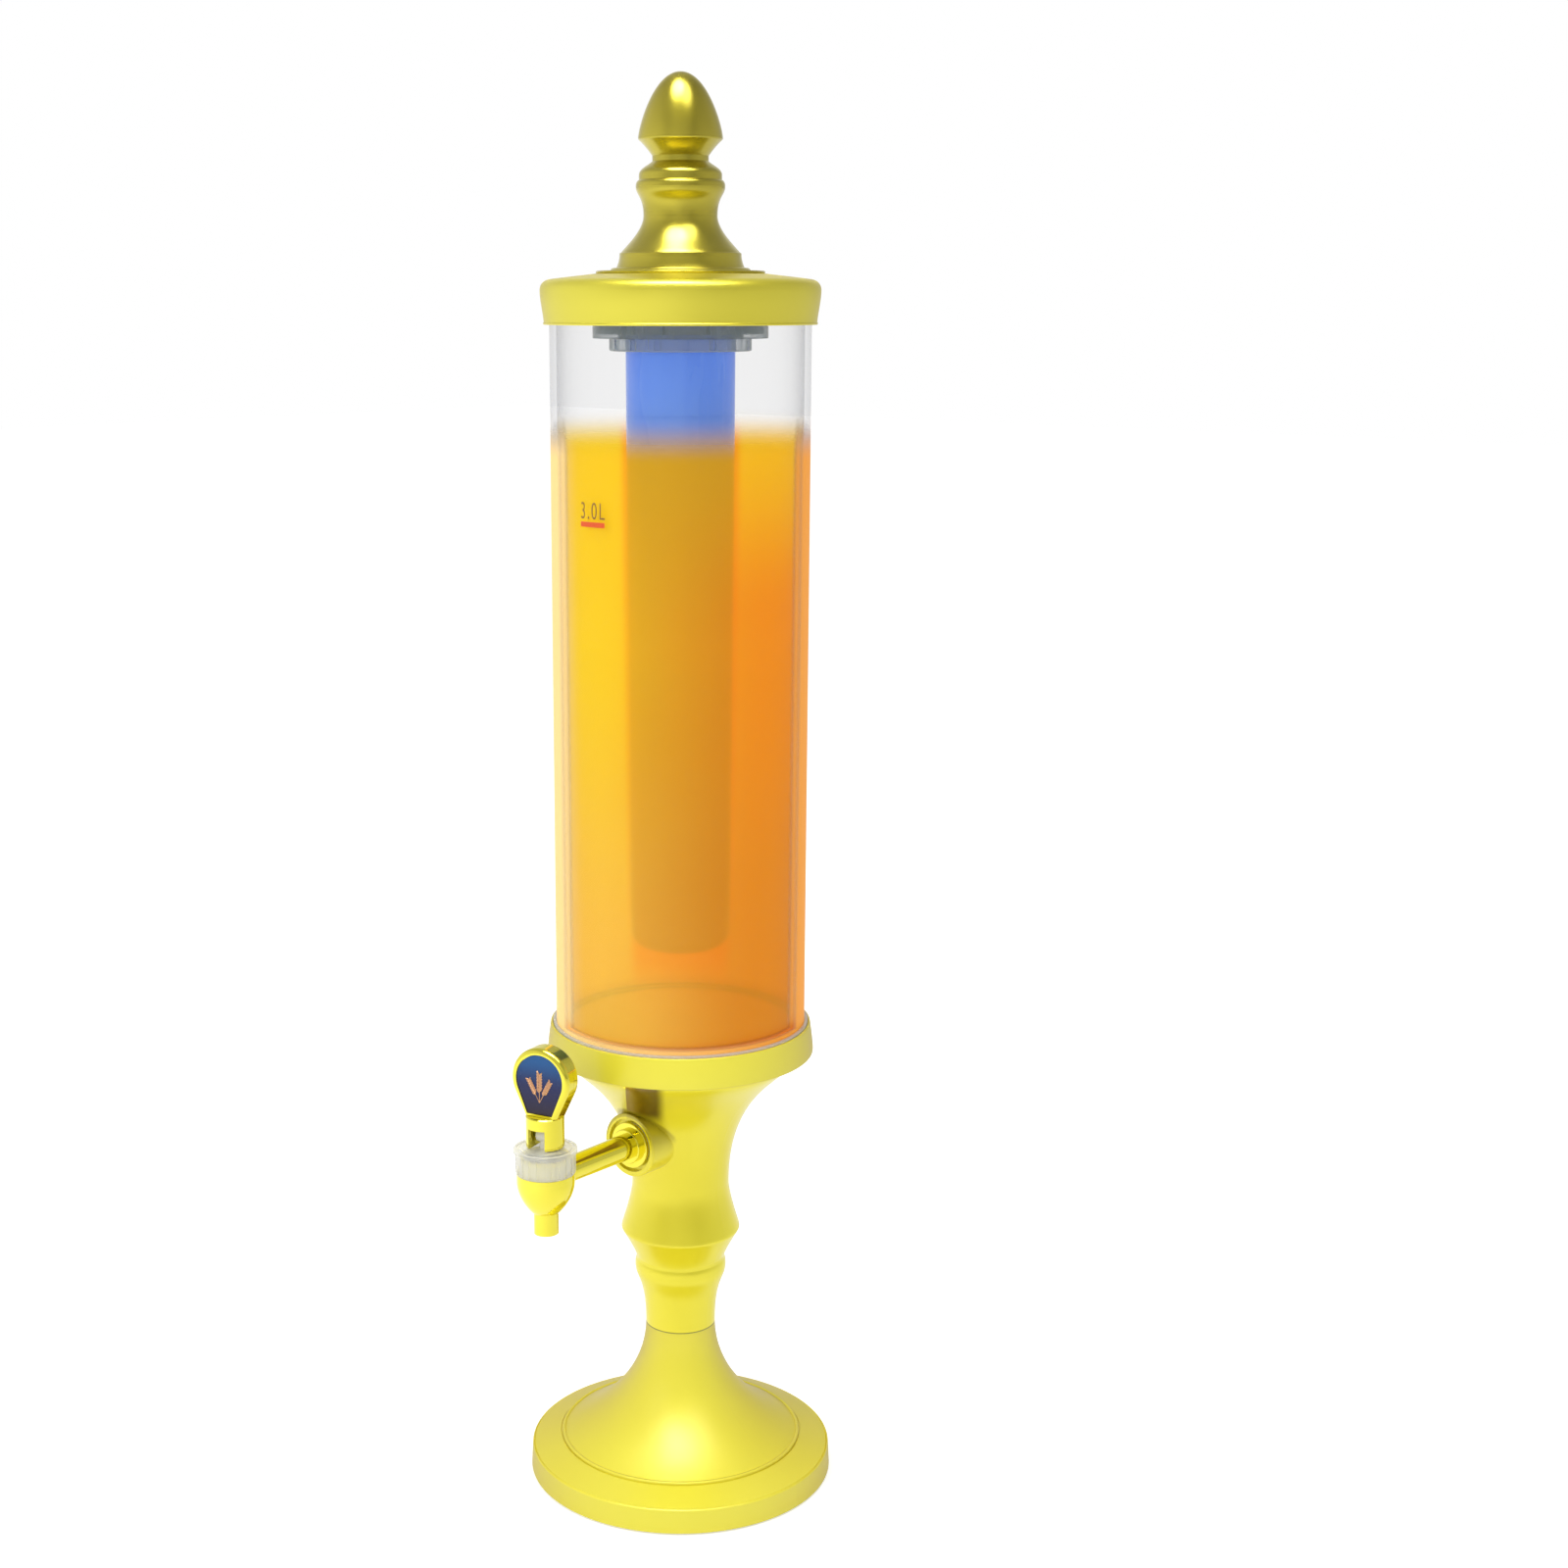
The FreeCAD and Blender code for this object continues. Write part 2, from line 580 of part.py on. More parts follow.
def tower_body():
    """Hollow column: a dry socket for the pedestal and tie rod below a web, and the sump above it."""
    bead_top = Z_BEAD + LOW_BEAD_BAND
    shoulder = at(LOW_BEAD_RADIUS - BEAD_CREASE, bead_top)
    notch = at(shoulder.x, bead_top + BEAD_CREASE * 3)
    lower_ridge = Z_RIDGE - RIDGE_ROUND
    waist_to_ridge, neck_to_rim = body_outline(0)
    outer = turned([
        at(0, Z_BODY),
        at(WAIST_RADIUS, Z_BODY),
        swell(at(WAIST_RADIUS, Z_BODY), Vec(0, 0, LOW_BEAD_HEIGHT * 0.75),
              at(LOW_BEAD_RADIUS, Z_BEAD), Vec(0, 0, LOW_BEAD_HEIGHT * 0.21)),
        swell(at(LOW_BEAD_RADIUS, Z_BEAD), Vec(0, 0, LOW_BEAD_BAND * 0.7), shoulder,
              Vec(-BEAD_CREASE * 0.5, 0, LOW_BEAD_BAND * 0.3)),
        corner(shoulder, at(shoulder.x - BEAD_CREASE * 0.4, shoulder.z + BEAD_CREASE * 1.6), notch),
        swell(notch, Vec(1.0, 0, 3.4),
              at(RIDGE_RADIUS - 0.7, lower_ridge), Vec(2.4, 0, 4.0)),
        corner(at(RIDGE_RADIUS - 0.7, lower_ridge), at(RIDGE_RADIUS + 0.3, Z_RIDGE - 0.8),
               at(RIDGE_RADIUS, Z_RIDGE)),
        waist_to_ridge,
        neck_to_rim,
        at(FLARE_RADIUS, Z_FLANGE),
        at(FLANGE_RADIUS, Z_FLANGE),
        at(FLANGE_RADIUS, Z_FLANGE_TOP),
        at(0, Z_FLANGE_TOP),
    ])
    sump_side, sump_flare = body_outline(BODY_WALL)
    throat = min(THROAT_RADIUS, FLARE_RADIUS - BODY_WALL)
    sump = turned([
        at(0, Z_SUMP),
        at(RIDGE_RADIUS - 2 * BODY_WALL, Z_SUMP),
        sump_side,
        sump_flare,
        at(throat, Z_RING),
        at(throat, Z_FLANGE_TOP + 1),
        at(0, Z_FLANGE_TOP + 1),
    ])
    bead_inside = LOW_BEAD_RADIUS - BODY_WALL - BEAD_CREASE
    dry = turned([
        at(0, Z_BODY - 1),
        at(SOCKET_RADIUS, Z_BODY - 1),
        at(SOCKET_RADIUS, Z_BODY + SPIGOT_LENGTH + 4),
        at(bead_inside, Z_BEAD),
        at(bead_inside, Z_DRY_TOP),
        at(0, Z_DRY_TOP),
    ])
    dry = dry.cut(ring(INSERT_RADIUS + INSERT_BOSS_WALL, INSERT_RADIUS, Z_INSERT, Z_DRY_TOP + 1))
    boss = along_front(BOSS_RADIUS, NECK_RADIUS / 2, BOSS_REACH, Z_TAP)
    rim = [e for e in boss.Edges if abs(e.CenterOfMass.y + BOSS_REACH) < 1e-6]
    boss = boss.makeFillet(BOSS_RIM_ROUND, rim)
    nut_pad = along_front(BOSS_RECESS_RADIUS, PAD_REACH, BOSS_REACH - BOSS_RECESS_DEPTH, Z_TAP)
    body = outer.fuse(boss).cut(sump.cut(nut_pad)).cut(dry)
    body = body.cut(along_front(SHANK_RADIUS + FIT_GAP, 0, BOSS_REACH + 1, Z_TAP))
    body = body.cut(along_front(BOSS_RECESS_RADIUS, BOSS_REACH - BOSS_RECESS_DEPTH, BOSS_REACH + 1, Z_TAP))
    return body


# ---------------------------------------------------------------- seat ring, gasket, end cup, tube
def seat_ring():
    """Gold union ring: its lip pulls the body's flange up against the clear end cup."""
    bore = FLANGE_RADIUS + FIT_GAP
    lip_bore = FLARE_RADIUS + FIT_GAP
    cup_bore = CUP_LIP_RADIUS + FIT_GAP
    return turned([
        at(RING_RADIUS - RING_EDGE_ROUND, Z_RING),
        corner(at(RING_RADIUS - RING_EDGE_ROUND, Z_RING), at(RING_RADIUS, Z_RING),
               at(RING_RADIUS, Z_RING + RING_EDGE_ROUND)),
        swell(at(RING_RADIUS, Z_RING + RING_EDGE_ROUND), Vec(0, 0, 3),
              at(RING_TOP_RADIUS, Z_RING_TOP - RING_EDGE_ROUND), Vec(-0.5, 0, 3)),
        corner(at(RING_TOP_RADIUS, Z_RING_TOP - RING_EDGE_ROUND), at(RING_TOP_RADIUS, Z_RING_TOP),
               at(RING_TOP_RADIUS - RING_EDGE_ROUND, Z_RING_TOP)),
        at(cup_bore, Z_RING_TOP),
        at(cup_bore, Z_LIP - FIT_GAP),
        at(bore, Z_LIP - FIT_GAP),
        at(bore, Z_RING + RING_LIP),
        at(lip_bore, Z_RING + RING_LIP),
        at(lip_bore, Z_RING),
    ])


def tube_gasket():
    return ring(CUP_SKIRT_RADIUS, CUP_SKIRT_RADIUS - CUP_SKIRT_WALL, Z_FLANGE_TOP, Z_CUP)


def end_cup():
    """Clear end of the reservoir: floor with its drain, screw skirt, and the lip that holds the tube."""
    return turned([
        at(CUP_SKIRT_RADIUS, Z_CUP),
        at(CUP_SKIRT_RADIUS, Z_LIP),
        at(CUP_LIP_RADIUS, Z_LIP),
        at(CUP_LIP_RADIUS, Z_FLOOR + CUP_LIP_HEIGHT),
        at(TUBE_RADIUS + FIT_GAP, Z_FLOOR + CUP_LIP_HEIGHT),
        at(TUBE_RADIUS + FIT_GAP, Z_FLOOR),
        at(DRAIN_RADIUS, Z_FLOOR),
        at(DRAIN_RADIUS, Z_FLOOR - CUP_FLOOR - DRAIN_LENGTH),
        at(DRAIN_RADIUS + DRAIN_WALL, Z_FLOOR - CUP_FLOOR - DRAIN_LENGTH),
        at(DRAIN_RADIUS + DRAIN_WALL, Z_FLOOR - CUP_FLOOR),
        at(CUP_SKIRT_RADIUS - CUP_SKIRT_WALL, Z_FLOOR - CUP_FLOOR),
        at(CUP_SKIRT_RADIUS - CUP_SKIRT_WALL, Z_CUP),
    ])


def reservoir_tube():
    return ring(TUBE_RADIUS, TUBE_BORE, Z_FLOOR, Z_TUBE_TOP)


# ---------------------------------------------------------------- tap
def shank_levels():
    """Distances along the shank, outwards from the floor of the boss's recess: gasket, washer, hub, pipe."""
    gasket = BOSS_REACH - BOSS_RECESS_DEPTH
    washer = gasket + SHANK_GASKET_THICKNESS
    hub = washer + SHANK_WASHER_THICKNESS
    return gasket, washer, hub, hub + HUB_LENGTH


def shank_gasket():
    gasket, washer, hub, pipe = shank_levels()
    return front_ring(SHANK_GASKET_RADIUS, SHANK_RADIUS + FIT_GAP, gasket, washer, Z_TAP)


def shank_washer():
    gasket, washer, hub, pipe = shank_levels()
    shape = front_ring(SHANK_WASHER_RADIUS, SHANK_RADIUS + FIT_GAP, washer, hub, Z_TAP)
    edge = [e for e in shape.Edges
            if abs(e.CenterOfMass.y + hub) < 1e-6 and e.Length > 2 * math.pi * SHANK_WASHER_RADIUS - 1e-6]
    return shape.makeFillet(SHANK_WASHER_THICKNESS / 3, edge)


def inner_gasket():
    near = PAD_REACH - INNER_GASKET_THICKNESS
    return front_ring(SHANK_GASKET_RADIUS, SHANK_RADIUS + FIT_GAP, near, PAD_REACH, Z_TAP)


def shank_nut():
    near = PAD_REACH - INNER_GASKET_THICKNESS - SHANK_NUT_HEIGHT
    shape = nut(SHANK_NUT_FLATS, SHANK_RADIUS + PIN_GAP, SHANK_NUT_HEIGHT)
    shape.rotate(Vec(0, 0, 0), SIDE, 90)
    shape.translate(Vec(0, -near, Z_TAP))
    return shape


def tap_body():
    """One moulding: threaded shank, pipe, egg-shaped valve body and spout."""
    gasket, washer, hub, pipe = shank_levels()
    tail = PAD_REACH - INNER_GASKET_THICKNESS - SHANK_NUT_HEIGHT - SHANK_TAIL
    bulb_side = Z_BULB + BULB_HEIGHT
    valve = turned([
        at(0, Z_SPOUT),
        at(SPOUT_RADIUS, Z_SPOUT),
        at(SPOUT_RADIUS, Z_BULB),
        at(BULB_FOOT_RADIUS, Z_BULB + 0.4),
        swell(at(BULB_FOOT_RADIUS, Z_BULB + 0.4), Vec(2.2, 0, 2.2),
              at(BULB_RADIUS, bulb_side), Vec(0, 0, 7.0)),
        at(BULB_RADIUS, Z_BULB_TOP),
        at(TAP_NECK_RADIUS, Z_BULB_TOP),
        at(TAP_NECK_RADIUS, Z_TAP_NECK_TOP),
        at(0, Z_TAP_NECK_TOP),
    ])
    valve.translate(TAP_AXIS)
    pipe_length = TAP_REACH - pipe
    taper = Part.makeCone(SHANK_RADIUS, SHANK_RADIUS - PIPE_TAPER, pipe_length, Vec(0, -pipe, Z_TAP), FRONT)
    saddle = BONNET_FLANGE_RADIUS + SADDLE_GAP
    taper = taper.cut(disc(saddle, Z_BULB_TOP - FIT_GAP, Z_TAP + 2 * SHANK_RADIUS, TAP_AXIS))
    collar = along_front(HUB_RADIUS, hub, pipe, Z_TAP)
    rim = [e for e in collar.Edges if abs(e.CenterOfMass.y + pipe) < 1e-6]
    collar = collar.makeFillet(HUB_LENGTH / 4, rim)
    thread = along_front(SHANK_RADIUS, tail, hub + 1, Z_TAP)
    body = joined(valve, [taper, collar, thread])
    seat_wall = SPOUT_BORE + SEAT_LIP_WALL
    hollow = turned([
        at(0, Z_SPOUT - 1),
        at(SPOUT_BORE, Z_SPOUT - 1),
        at(SPOUT_BORE, Z_SEAT + SEAT_LIP),
        at(seat_wall, Z_SEAT + SEAT_LIP),
        at(seat_wall, Z_SEAT),
        at(CHAMBER_RADIUS, Z_SEAT),
        at(CHAMBER_RADIUS, Z_TAP_NECK_TOP + 1),
        at(0, Z_TAP_NECK_TOP + 1),
    ])
    hollow.translate(TAP_AXIS)
    port_start = TAP_REACH - saddle - PORT_WALL
    port = along_front(PORT_RADIUS, port_start - 1, TAP_REACH - seat_wall, Z_TAP - PORT_DROP)
    bore = along_front(SHANK_BORE, tail - 1, port_start, Z_TAP)
    return body.cut(hollow).cut(bore).cut(port)


def bonnet_nut():
    """Clear ribbed cap that closes the valve body and guides the stem."""
    bore = TAP_NECK_RADIUS + FIT_GAP
    flange_low = Z_BONNET_PLATE + BONNET_PLATE - BONNET_FLANGE_THICKNESS
    seal_bore = STEM_SEAL_RADIUS + FIT_GAP
    cap = turned([
        at(STEM_RADIUS + RUN_GAP, Z_BONNET_TOP),
        at(BONNET_FLANGE_RADIUS - 2 * BONNET_LIP_WIDTH, Z_BONNET_TOP),
        at(BONNET_FLANGE_RADIUS - 2 * BONNET_LIP_WIDTH, Z_BONNET_TOP - BONNET_DISH),
        at(BONNET_FLANGE_RADIUS - BONNET_LIP_WIDTH, Z_BONNET_TOP - BONNET_DISH),
        at(BONNET_FLANGE_RADIUS - BONNET_LIP_WIDTH, Z_BONNET_TOP - BONNET_DISH / 3),
        corner(at(BONNET_FLANGE_RADIUS - BONNET_LIP_WIDTH, Z_BONNET_TOP - BONNET_DISH / 3),
               at(BONNET_FLANGE_RADIUS, Z_BONNET_TOP - BONNET_DISH / 3),
               at(BONNET_FLANGE_RADIUS, Z_BONNET_TOP - BONNET_DISH)),
        at(BONNET_FLANGE_RADIUS, flange_low),
        at(BONNET_SKIRT_RADIUS, flange_low - 0.6),
        at(BONNET_SKIRT_RADIUS, Z_BONNET),
        at(bore, Z_BONNET),
        at(bore, Z_BONNET_PLATE),
        at(seal_bore, Z_BONNET_PLATE),
        at(seal_bore, Z_BONNET_PLATE + STEM_SEAL_THICKNESS),
        at(STEM_RADIUS + RUN_GAP, Z_BONNET_PLATE + STEM_SEAL_THICKNESS),
    ])
    half = BONNET_RIB_WIDTH / 2
    rib = block(BONNET_SKIRT_RADIUS - 0.5, BONNET_SKIRT_RADIUS + BONNET_RIB_DEPTH, -half, half,
                Z_BONNET + 0.6, flange_low + 0.2)
    cap = joined(cap, around(rib, BONNET_RIBS))
    cap.translate(TAP_AXIS)
    return cap


def stem_seal():
    return ring(STEM_SEAL_RADIUS, STEM_RADIUS + PIN_GAP, Z_BONNET_PLATE + PIN_GAP,
                Z_BONNET_PLATE + STEM_SEAL_THICKNESS - PIN_GAP, TAP_AXIS)


def valve_stem():
    """Stem with an eye for the lever's pin at its top and a collar that holds the plug and the spring."""
    collar_low = Z_PLUG_TOP
    rod = disc(STEM_RADIUS, collar_low - STEM_TIP_LENGTH, Z_PIVOT, TAP_AXIS)
    collar = disc(STEM_COLLAR_RADIUS, collar_low, collar_low + STEM_COLLAR_THICKNESS, TAP_AXIS)
    eye_end = Vec(-STEM_EYE_WIDTH / 2, -TAP_REACH, Z_PIVOT)
    eye = Part.makeCylinder(STEM_EYE_RADIUS, STEM_EYE_WIDTH, eye_end, SIDE)
    hole = Part.makeCylinder(PIN_RADIUS + FIT_GAP / 10, STEM_EYE_WIDTH + 2,
                             Vec(-STEM_EYE_WIDTH / 2 - 1, -TAP_REACH, Z_PIVOT), SIDE)
    return joined(rod, [collar, eye]).cut(hole)


def valve_plug():
    """Soft plug that closes the seat, pushed onto the stem's tip."""
    low = Z_SEAT + SEAT_LIP
    plug = turned([
        at(0, low),
        at(PLUG_RADIUS - 1, low),
        corner(at(PLUG_RADIUS - 1, low), at(PLUG_RADIUS, low), at(PLUG_RADIUS, low + 1.5)),
        at(STEM_COLLAR_RADIUS, Z_PLUG_TOP),
        at(0, Z_PLUG_TOP),
    ])
    plug = plug.cut(disc(STEM_RADIUS + PIN_GAP, Z_PLUG_TOP - STEM_TIP_LENGTH - PIN_GAP, Z_PLUG_TOP + 1))
    plug.translate(TAP_AXIS)
    return plug


def return_spring():
    """Coil spring between the stem's collar and the bonnet: half rings that lean alternately, end to end."""
    low = Z_PLUG_TOP + STEM_COLLAR_THICKNESS + SPRING_WIRE + PIN_GAP
    high = Z_BONNET_PLATE - SPRING_WIRE - PIN_GAP
    rise = (high - low) / SPRING_TURNS / 2
    halves = []
    side = 1
    for k in range(2 * SPRING_TURNS):
        start = Vec(side * SPRING_RADIUS, 0, k * rise)
        section = Part.Face(Part.Wire(Part.Circle(start, Vec(0, 1, 0), SPRING_WIRE).toShape()))
        lean = Vec(side * rise, 0, 2 * SPRING_RADIUS)
        halves.append(section.revolve(Vec(0, 0, (k + 0.5) * rise), lean, 180))
        side = -side
    coil = halves[0].fuse(halves[1:])
    coil.translate(TAP_AXIS + Vec(0, 0, low))
    return coil


def lever_pin():
    """Pin pushed in from one side of the fork; its hole ends inside the other cheek."""
    near = -math.sqrt(FORK_RADIUS ** 2 - PIN_RADIUS ** 2) + PIN_SHY
    length = PIN_BLIND_END - PIN_GAP - near
    return Part.makeCylinder(PIN_RADIUS, length, Vec(near, -TAP_REACH, Z_PIVOT), SIDE)


# ---------------------------------------------------------------- lever
def teardrop(radius, foot_half, foot_height, y_low, y_high):
    """A flat teardrop: a round head that narrows in straight sides to a flat foot, from y_low to y_high."""
    centre = Vec(0, 0, Z_PADDLE)
    foot = Vec(foot_half, 0, foot_height)
    away = foot - centre
    reach = away.Length
    turn = math.acos(radius / reach)
    angle = math.atan2(away.z, away.x) + turn
    touch = Vec(radius * math.cos(angle), 0, Z_PADDLE + radius * math.sin(angle))
    left_touch = Vec(-touch.x, 0, touch.z)
    left_foot = Vec(-foot.x, 0, foot.z)
    outline = Part.Wire([
        line(foot, touch),
        arc(touch, Vec(0, 0, Z_PADDLE + radius), left_touch),
        line(left_touch, left_foot),
        line(left_foot, foot),
    ])
    solid = Part.Face(outline).extrude(Vec(0, y_high - y_low, 0))
    solid.translate(TAP_AXIS + Vec(0, y_low + PADDLE_SET_BACK, 0))
    return solid


def paddle_blank():
    """The whole paddle before it is split, with rounded edges and a pocket for a badge in each face."""
    half = PADDLE_THICKNESS / 2
    foot_height = Z_FORK + FORK_HEIGHT - 1
    blank = teardrop(PADDLE_RADIUS, PADDLE_FOOT_HALF, foot_height, -half, half)
    middle = -TAP_REACH + PADDLE_SET_BACK
    faces = (middle - half, middle + half)
    outline = [e for e in blank.Edges if any(abs(e.CenterOfMass.y - y) < 1e-6 for y in faces)]
    edges = [e for e in outline if e.CenterOfMass.z > foot_height + 1e-6]
    blank = blank.makeFillet(PADDLE_EDGE_ROUND, edges)
    badge_foot = foot_height + BADGE_CHIN
    radius = PADDLE_RADIUS - BADGE_MARGIN
    for y_low, y_high in ((-half - 1, -half + BADGE_POCKET), (half - BADGE_POCKET, half + 1)):
        blank = blank.cut(teardrop(radius, BADGE_FOOT_HALF, badge_foot, y_low, y_high))
    return blank


def screw_places():
    """Heights of the two screws that hold the halves of the paddle together."""
    return [Z_PADDLE + PADDLE_SCREW_SPACING * share for share in (-0.5, 0.5)]


def paddle_back_face():
    return -TAP_REACH + PADDLE_SET_BACK + PADDLE_THICKNESS / 2


def split_plane():
    return paddle_back_face() - PADDLE_REAR_SHARE


def lever_body():
    """Fork that straddles the stem, in one piece with the rear half of the paddle."""
    heel = FORK_HEEL_ROUND
    fork = turned([
        at(0, Z_FORK),
        at(FORK_RADIUS - heel, Z_FORK),
        corner(at(FORK_RADIUS - heel, Z_FORK), at(FORK_RADIUS, Z_FORK), at(FORK_RADIUS, Z_FORK + heel)),
        at(FORK_RADIUS, Z_FORK + FORK_HEIGHT - heel / 2),
        at(FORK_RADIUS - heel / 2, Z_FORK + FORK_HEIGHT),
        at(0, Z_FORK + FORK_HEIGHT),
    ])
    fork.translate(TAP_AXIS)
    rear = paddle_blank().common(block(-50, 50, split_plane(), split_plane() + 50, Z_FORK, Z_FORK + 100))
    half = FORK_SLOT_WIDTH / 2
    slot = block(-half, half, -TAP_REACH - FORK_RADIUS - 1, -TAP_REACH + FORK_RADIUS - FORK_BACK_WALL,
                 Z_FORK - 1, Z_FORK + FORK_SLOT_HEIGHT)
    pin_hole = Part.makeCylinder(PIN_RADIUS + PIN_GAP, 2 * FORK_RADIUS + PIN_BLIND_END,
                                 Vec(-2 * FORK_RADIUS, -TAP_REACH, Z_PIVOT), SIDE)
    lever = joined(fork, [rear]).cut(slot).cut(pin_hole)
    rear_pocket = paddle_back_face() - BADGE_POCKET
    for height in screw_places():
        hole = Part.makeCylinder(PADDLE_SCREW_RADIUS + FIT_GAP, PADDLE_THICKNESS,
                                 Vec(0, rear_pocket + 1, height), FRONT)
        head = Part.makeCylinder(PADDLE_SCREW_HEAD + FIT_GAP, PADDLE_SCREW_HEAD_HEIGHT + 1,
                                 Vec(0, rear_pocket + 1, height), FRONT)
        lever = lever.cut(hole).cut(head)
    return lever


def paddle_front():
    """Front half of the paddle, screwed to the lever from behind."""
    over_fork = Z_FORK + FORK_HEIGHT + FIT_GAP / 2
    half = block(-50, 50, split_plane() - 50, split_plane() - PIN_GAP, over_fork, Z_FORK + 100)
    front = paddle_blank().common(half)
    for height in screw_places():
        hole = Part.makeCylinder(PADDLE_SCREW_RADIUS + FIT_GAP / 10, PADDLE_SCREW_LENGTH,
                                 Vec(0, split_plane() + 3, height), FRONT)
        front = front.cut(hole)
    return front


def badge(front):
    """Printed plate in the pocket of one face of the paddle."""
    half = PADDLE_THICKNESS / 2
    foot = Z_FORK + FORK_HEIGHT - 1 + BADGE_CHIN + FIT_GAP
    radius = PADDLE_RADIUS - BADGE_MARGIN - FIT_GAP
    floor = half - BADGE_POCKET + FIT_GAP / 2
    if front:
        return teardrop(radius, BADGE_FOOT_HALF - FIT_GAP, foot, -floor - BADGE_THICKNESS, -floor)
    return teardrop(radius, BADGE_FOOT_HALF - FIT_GAP, foot, floor, floor + BADGE_THICKNESS)


def paddle_screws():
    floor = paddle_back_face() - BADGE_POCKET
    screws = []
    for height in screw_places():
        head = Part.makeCylinder(PADDLE_SCREW_HEAD, PADDLE_SCREW_HEAD_HEIGHT - FIT_GAP / 2,
                                 Vec(0, floor - FIT_GAP / 2, height), FRONT)
        shaft = Part.makeCylinder(PADDLE_SCREW_RADIUS, PADDLE_SCREW_LENGTH - FIT_GAP,
                                  Vec(0, floor - FIT_GAP / 2, height), FRONT)
        screws.append(head.fuse(shaft).removeSplitter())
    return Part.makeCompound(screws)


# ---------------------------------------------------------------- lid and finial
def lid_shell():
    """Lid cap: a skirt that narrows a little towards its rolled edge, and a softly domed top."""
    bead_top = Z_LID + LID_BEAD_HEIGHT
    shoulder = Z_LID_SHOULDER - LID_SHOULDER_ROUND
    bore = TUBE_RADIUS + LID_WALL / 3
    hole = STUD_RADIUS + FIT_GAP
    rise = LID_DOME_RISE
    return turned([
        at(bore, Z_LID),
        at(LID_FOOT_RADIUS, Z_LID),
        corner(at(LID_FOOT_RADIUS, Z_LID),
               at(LID_FOOT_RADIUS + 2 * LID_BEAD, Z_LID + LID_BEAD_HEIGHT / 2),
               at(LID_FOOT_RADIUS, bead_top)),
        swell(at(LID_FOOT_RADIUS, bead_top), Vec(0.3, 0, 4), at(LID_RADIUS, shoulder), Vec(0.1, 0, 5)),
        swell(at(LID_RADIUS, shoulder), Vec(0, 0, LID_SHOULDER_ROUND * 0.6),
              at(LID_RADIUS - LID_SHOULDER_ROUND, Z_LID_SHOULDER), Vec(-LID_SHOULDER_ROUND * 0.6, 0, 0.3)),
        swell(at(LID_RADIUS - LID_SHOULDER_ROUND, Z_LID_SHOULDER), Vec(-6, 0, rise * 0.35),
              at(LID_SEAT_RADIUS, Z_LID_TOP), Vec(-6, 0, rise * 0.30)),
        at(hole, Z_LID_TOP),
        at(hole, Z_CEILING),
        at(bore, Z_CEILING),
    ])


def lid_seal():
    return ring(TUBE_RADIUS - FIT_GAP, TUBE_BORE, Z_TUBE_TOP + REST_GAP, Z_CEILING)


def finial_outline(inset):
    """The turned curves of the finial from its foot to its neck, moved in by a wall."""
    base = Z_LID_TOP
    foot = at(FINIAL_FOOT_TOP_RADIUS - inset, base + FINIAL_FOOT_HEIGHT)
    waist = at(FINIAL_WAIST_RADIUS - inset, base + FINIAL_WAIST_HEIGHT)
    bead = at(FINIAL_BEAD_RADIUS - inset, base + FINIAL_BEAD_HEIGHT)
    down = waist.z - foot.z
    up = bead.z - waist.z
    return [
        swell(foot, Vec(-(foot.x - waist.x) * 0.12, 0, down * 0.12), waist, Vec(0, 0, down * 0.41)),
        swell(waist, Vec(0, 0, up * 0.66), bead, Vec(0.2, 0, up * 0.30)),
    ]


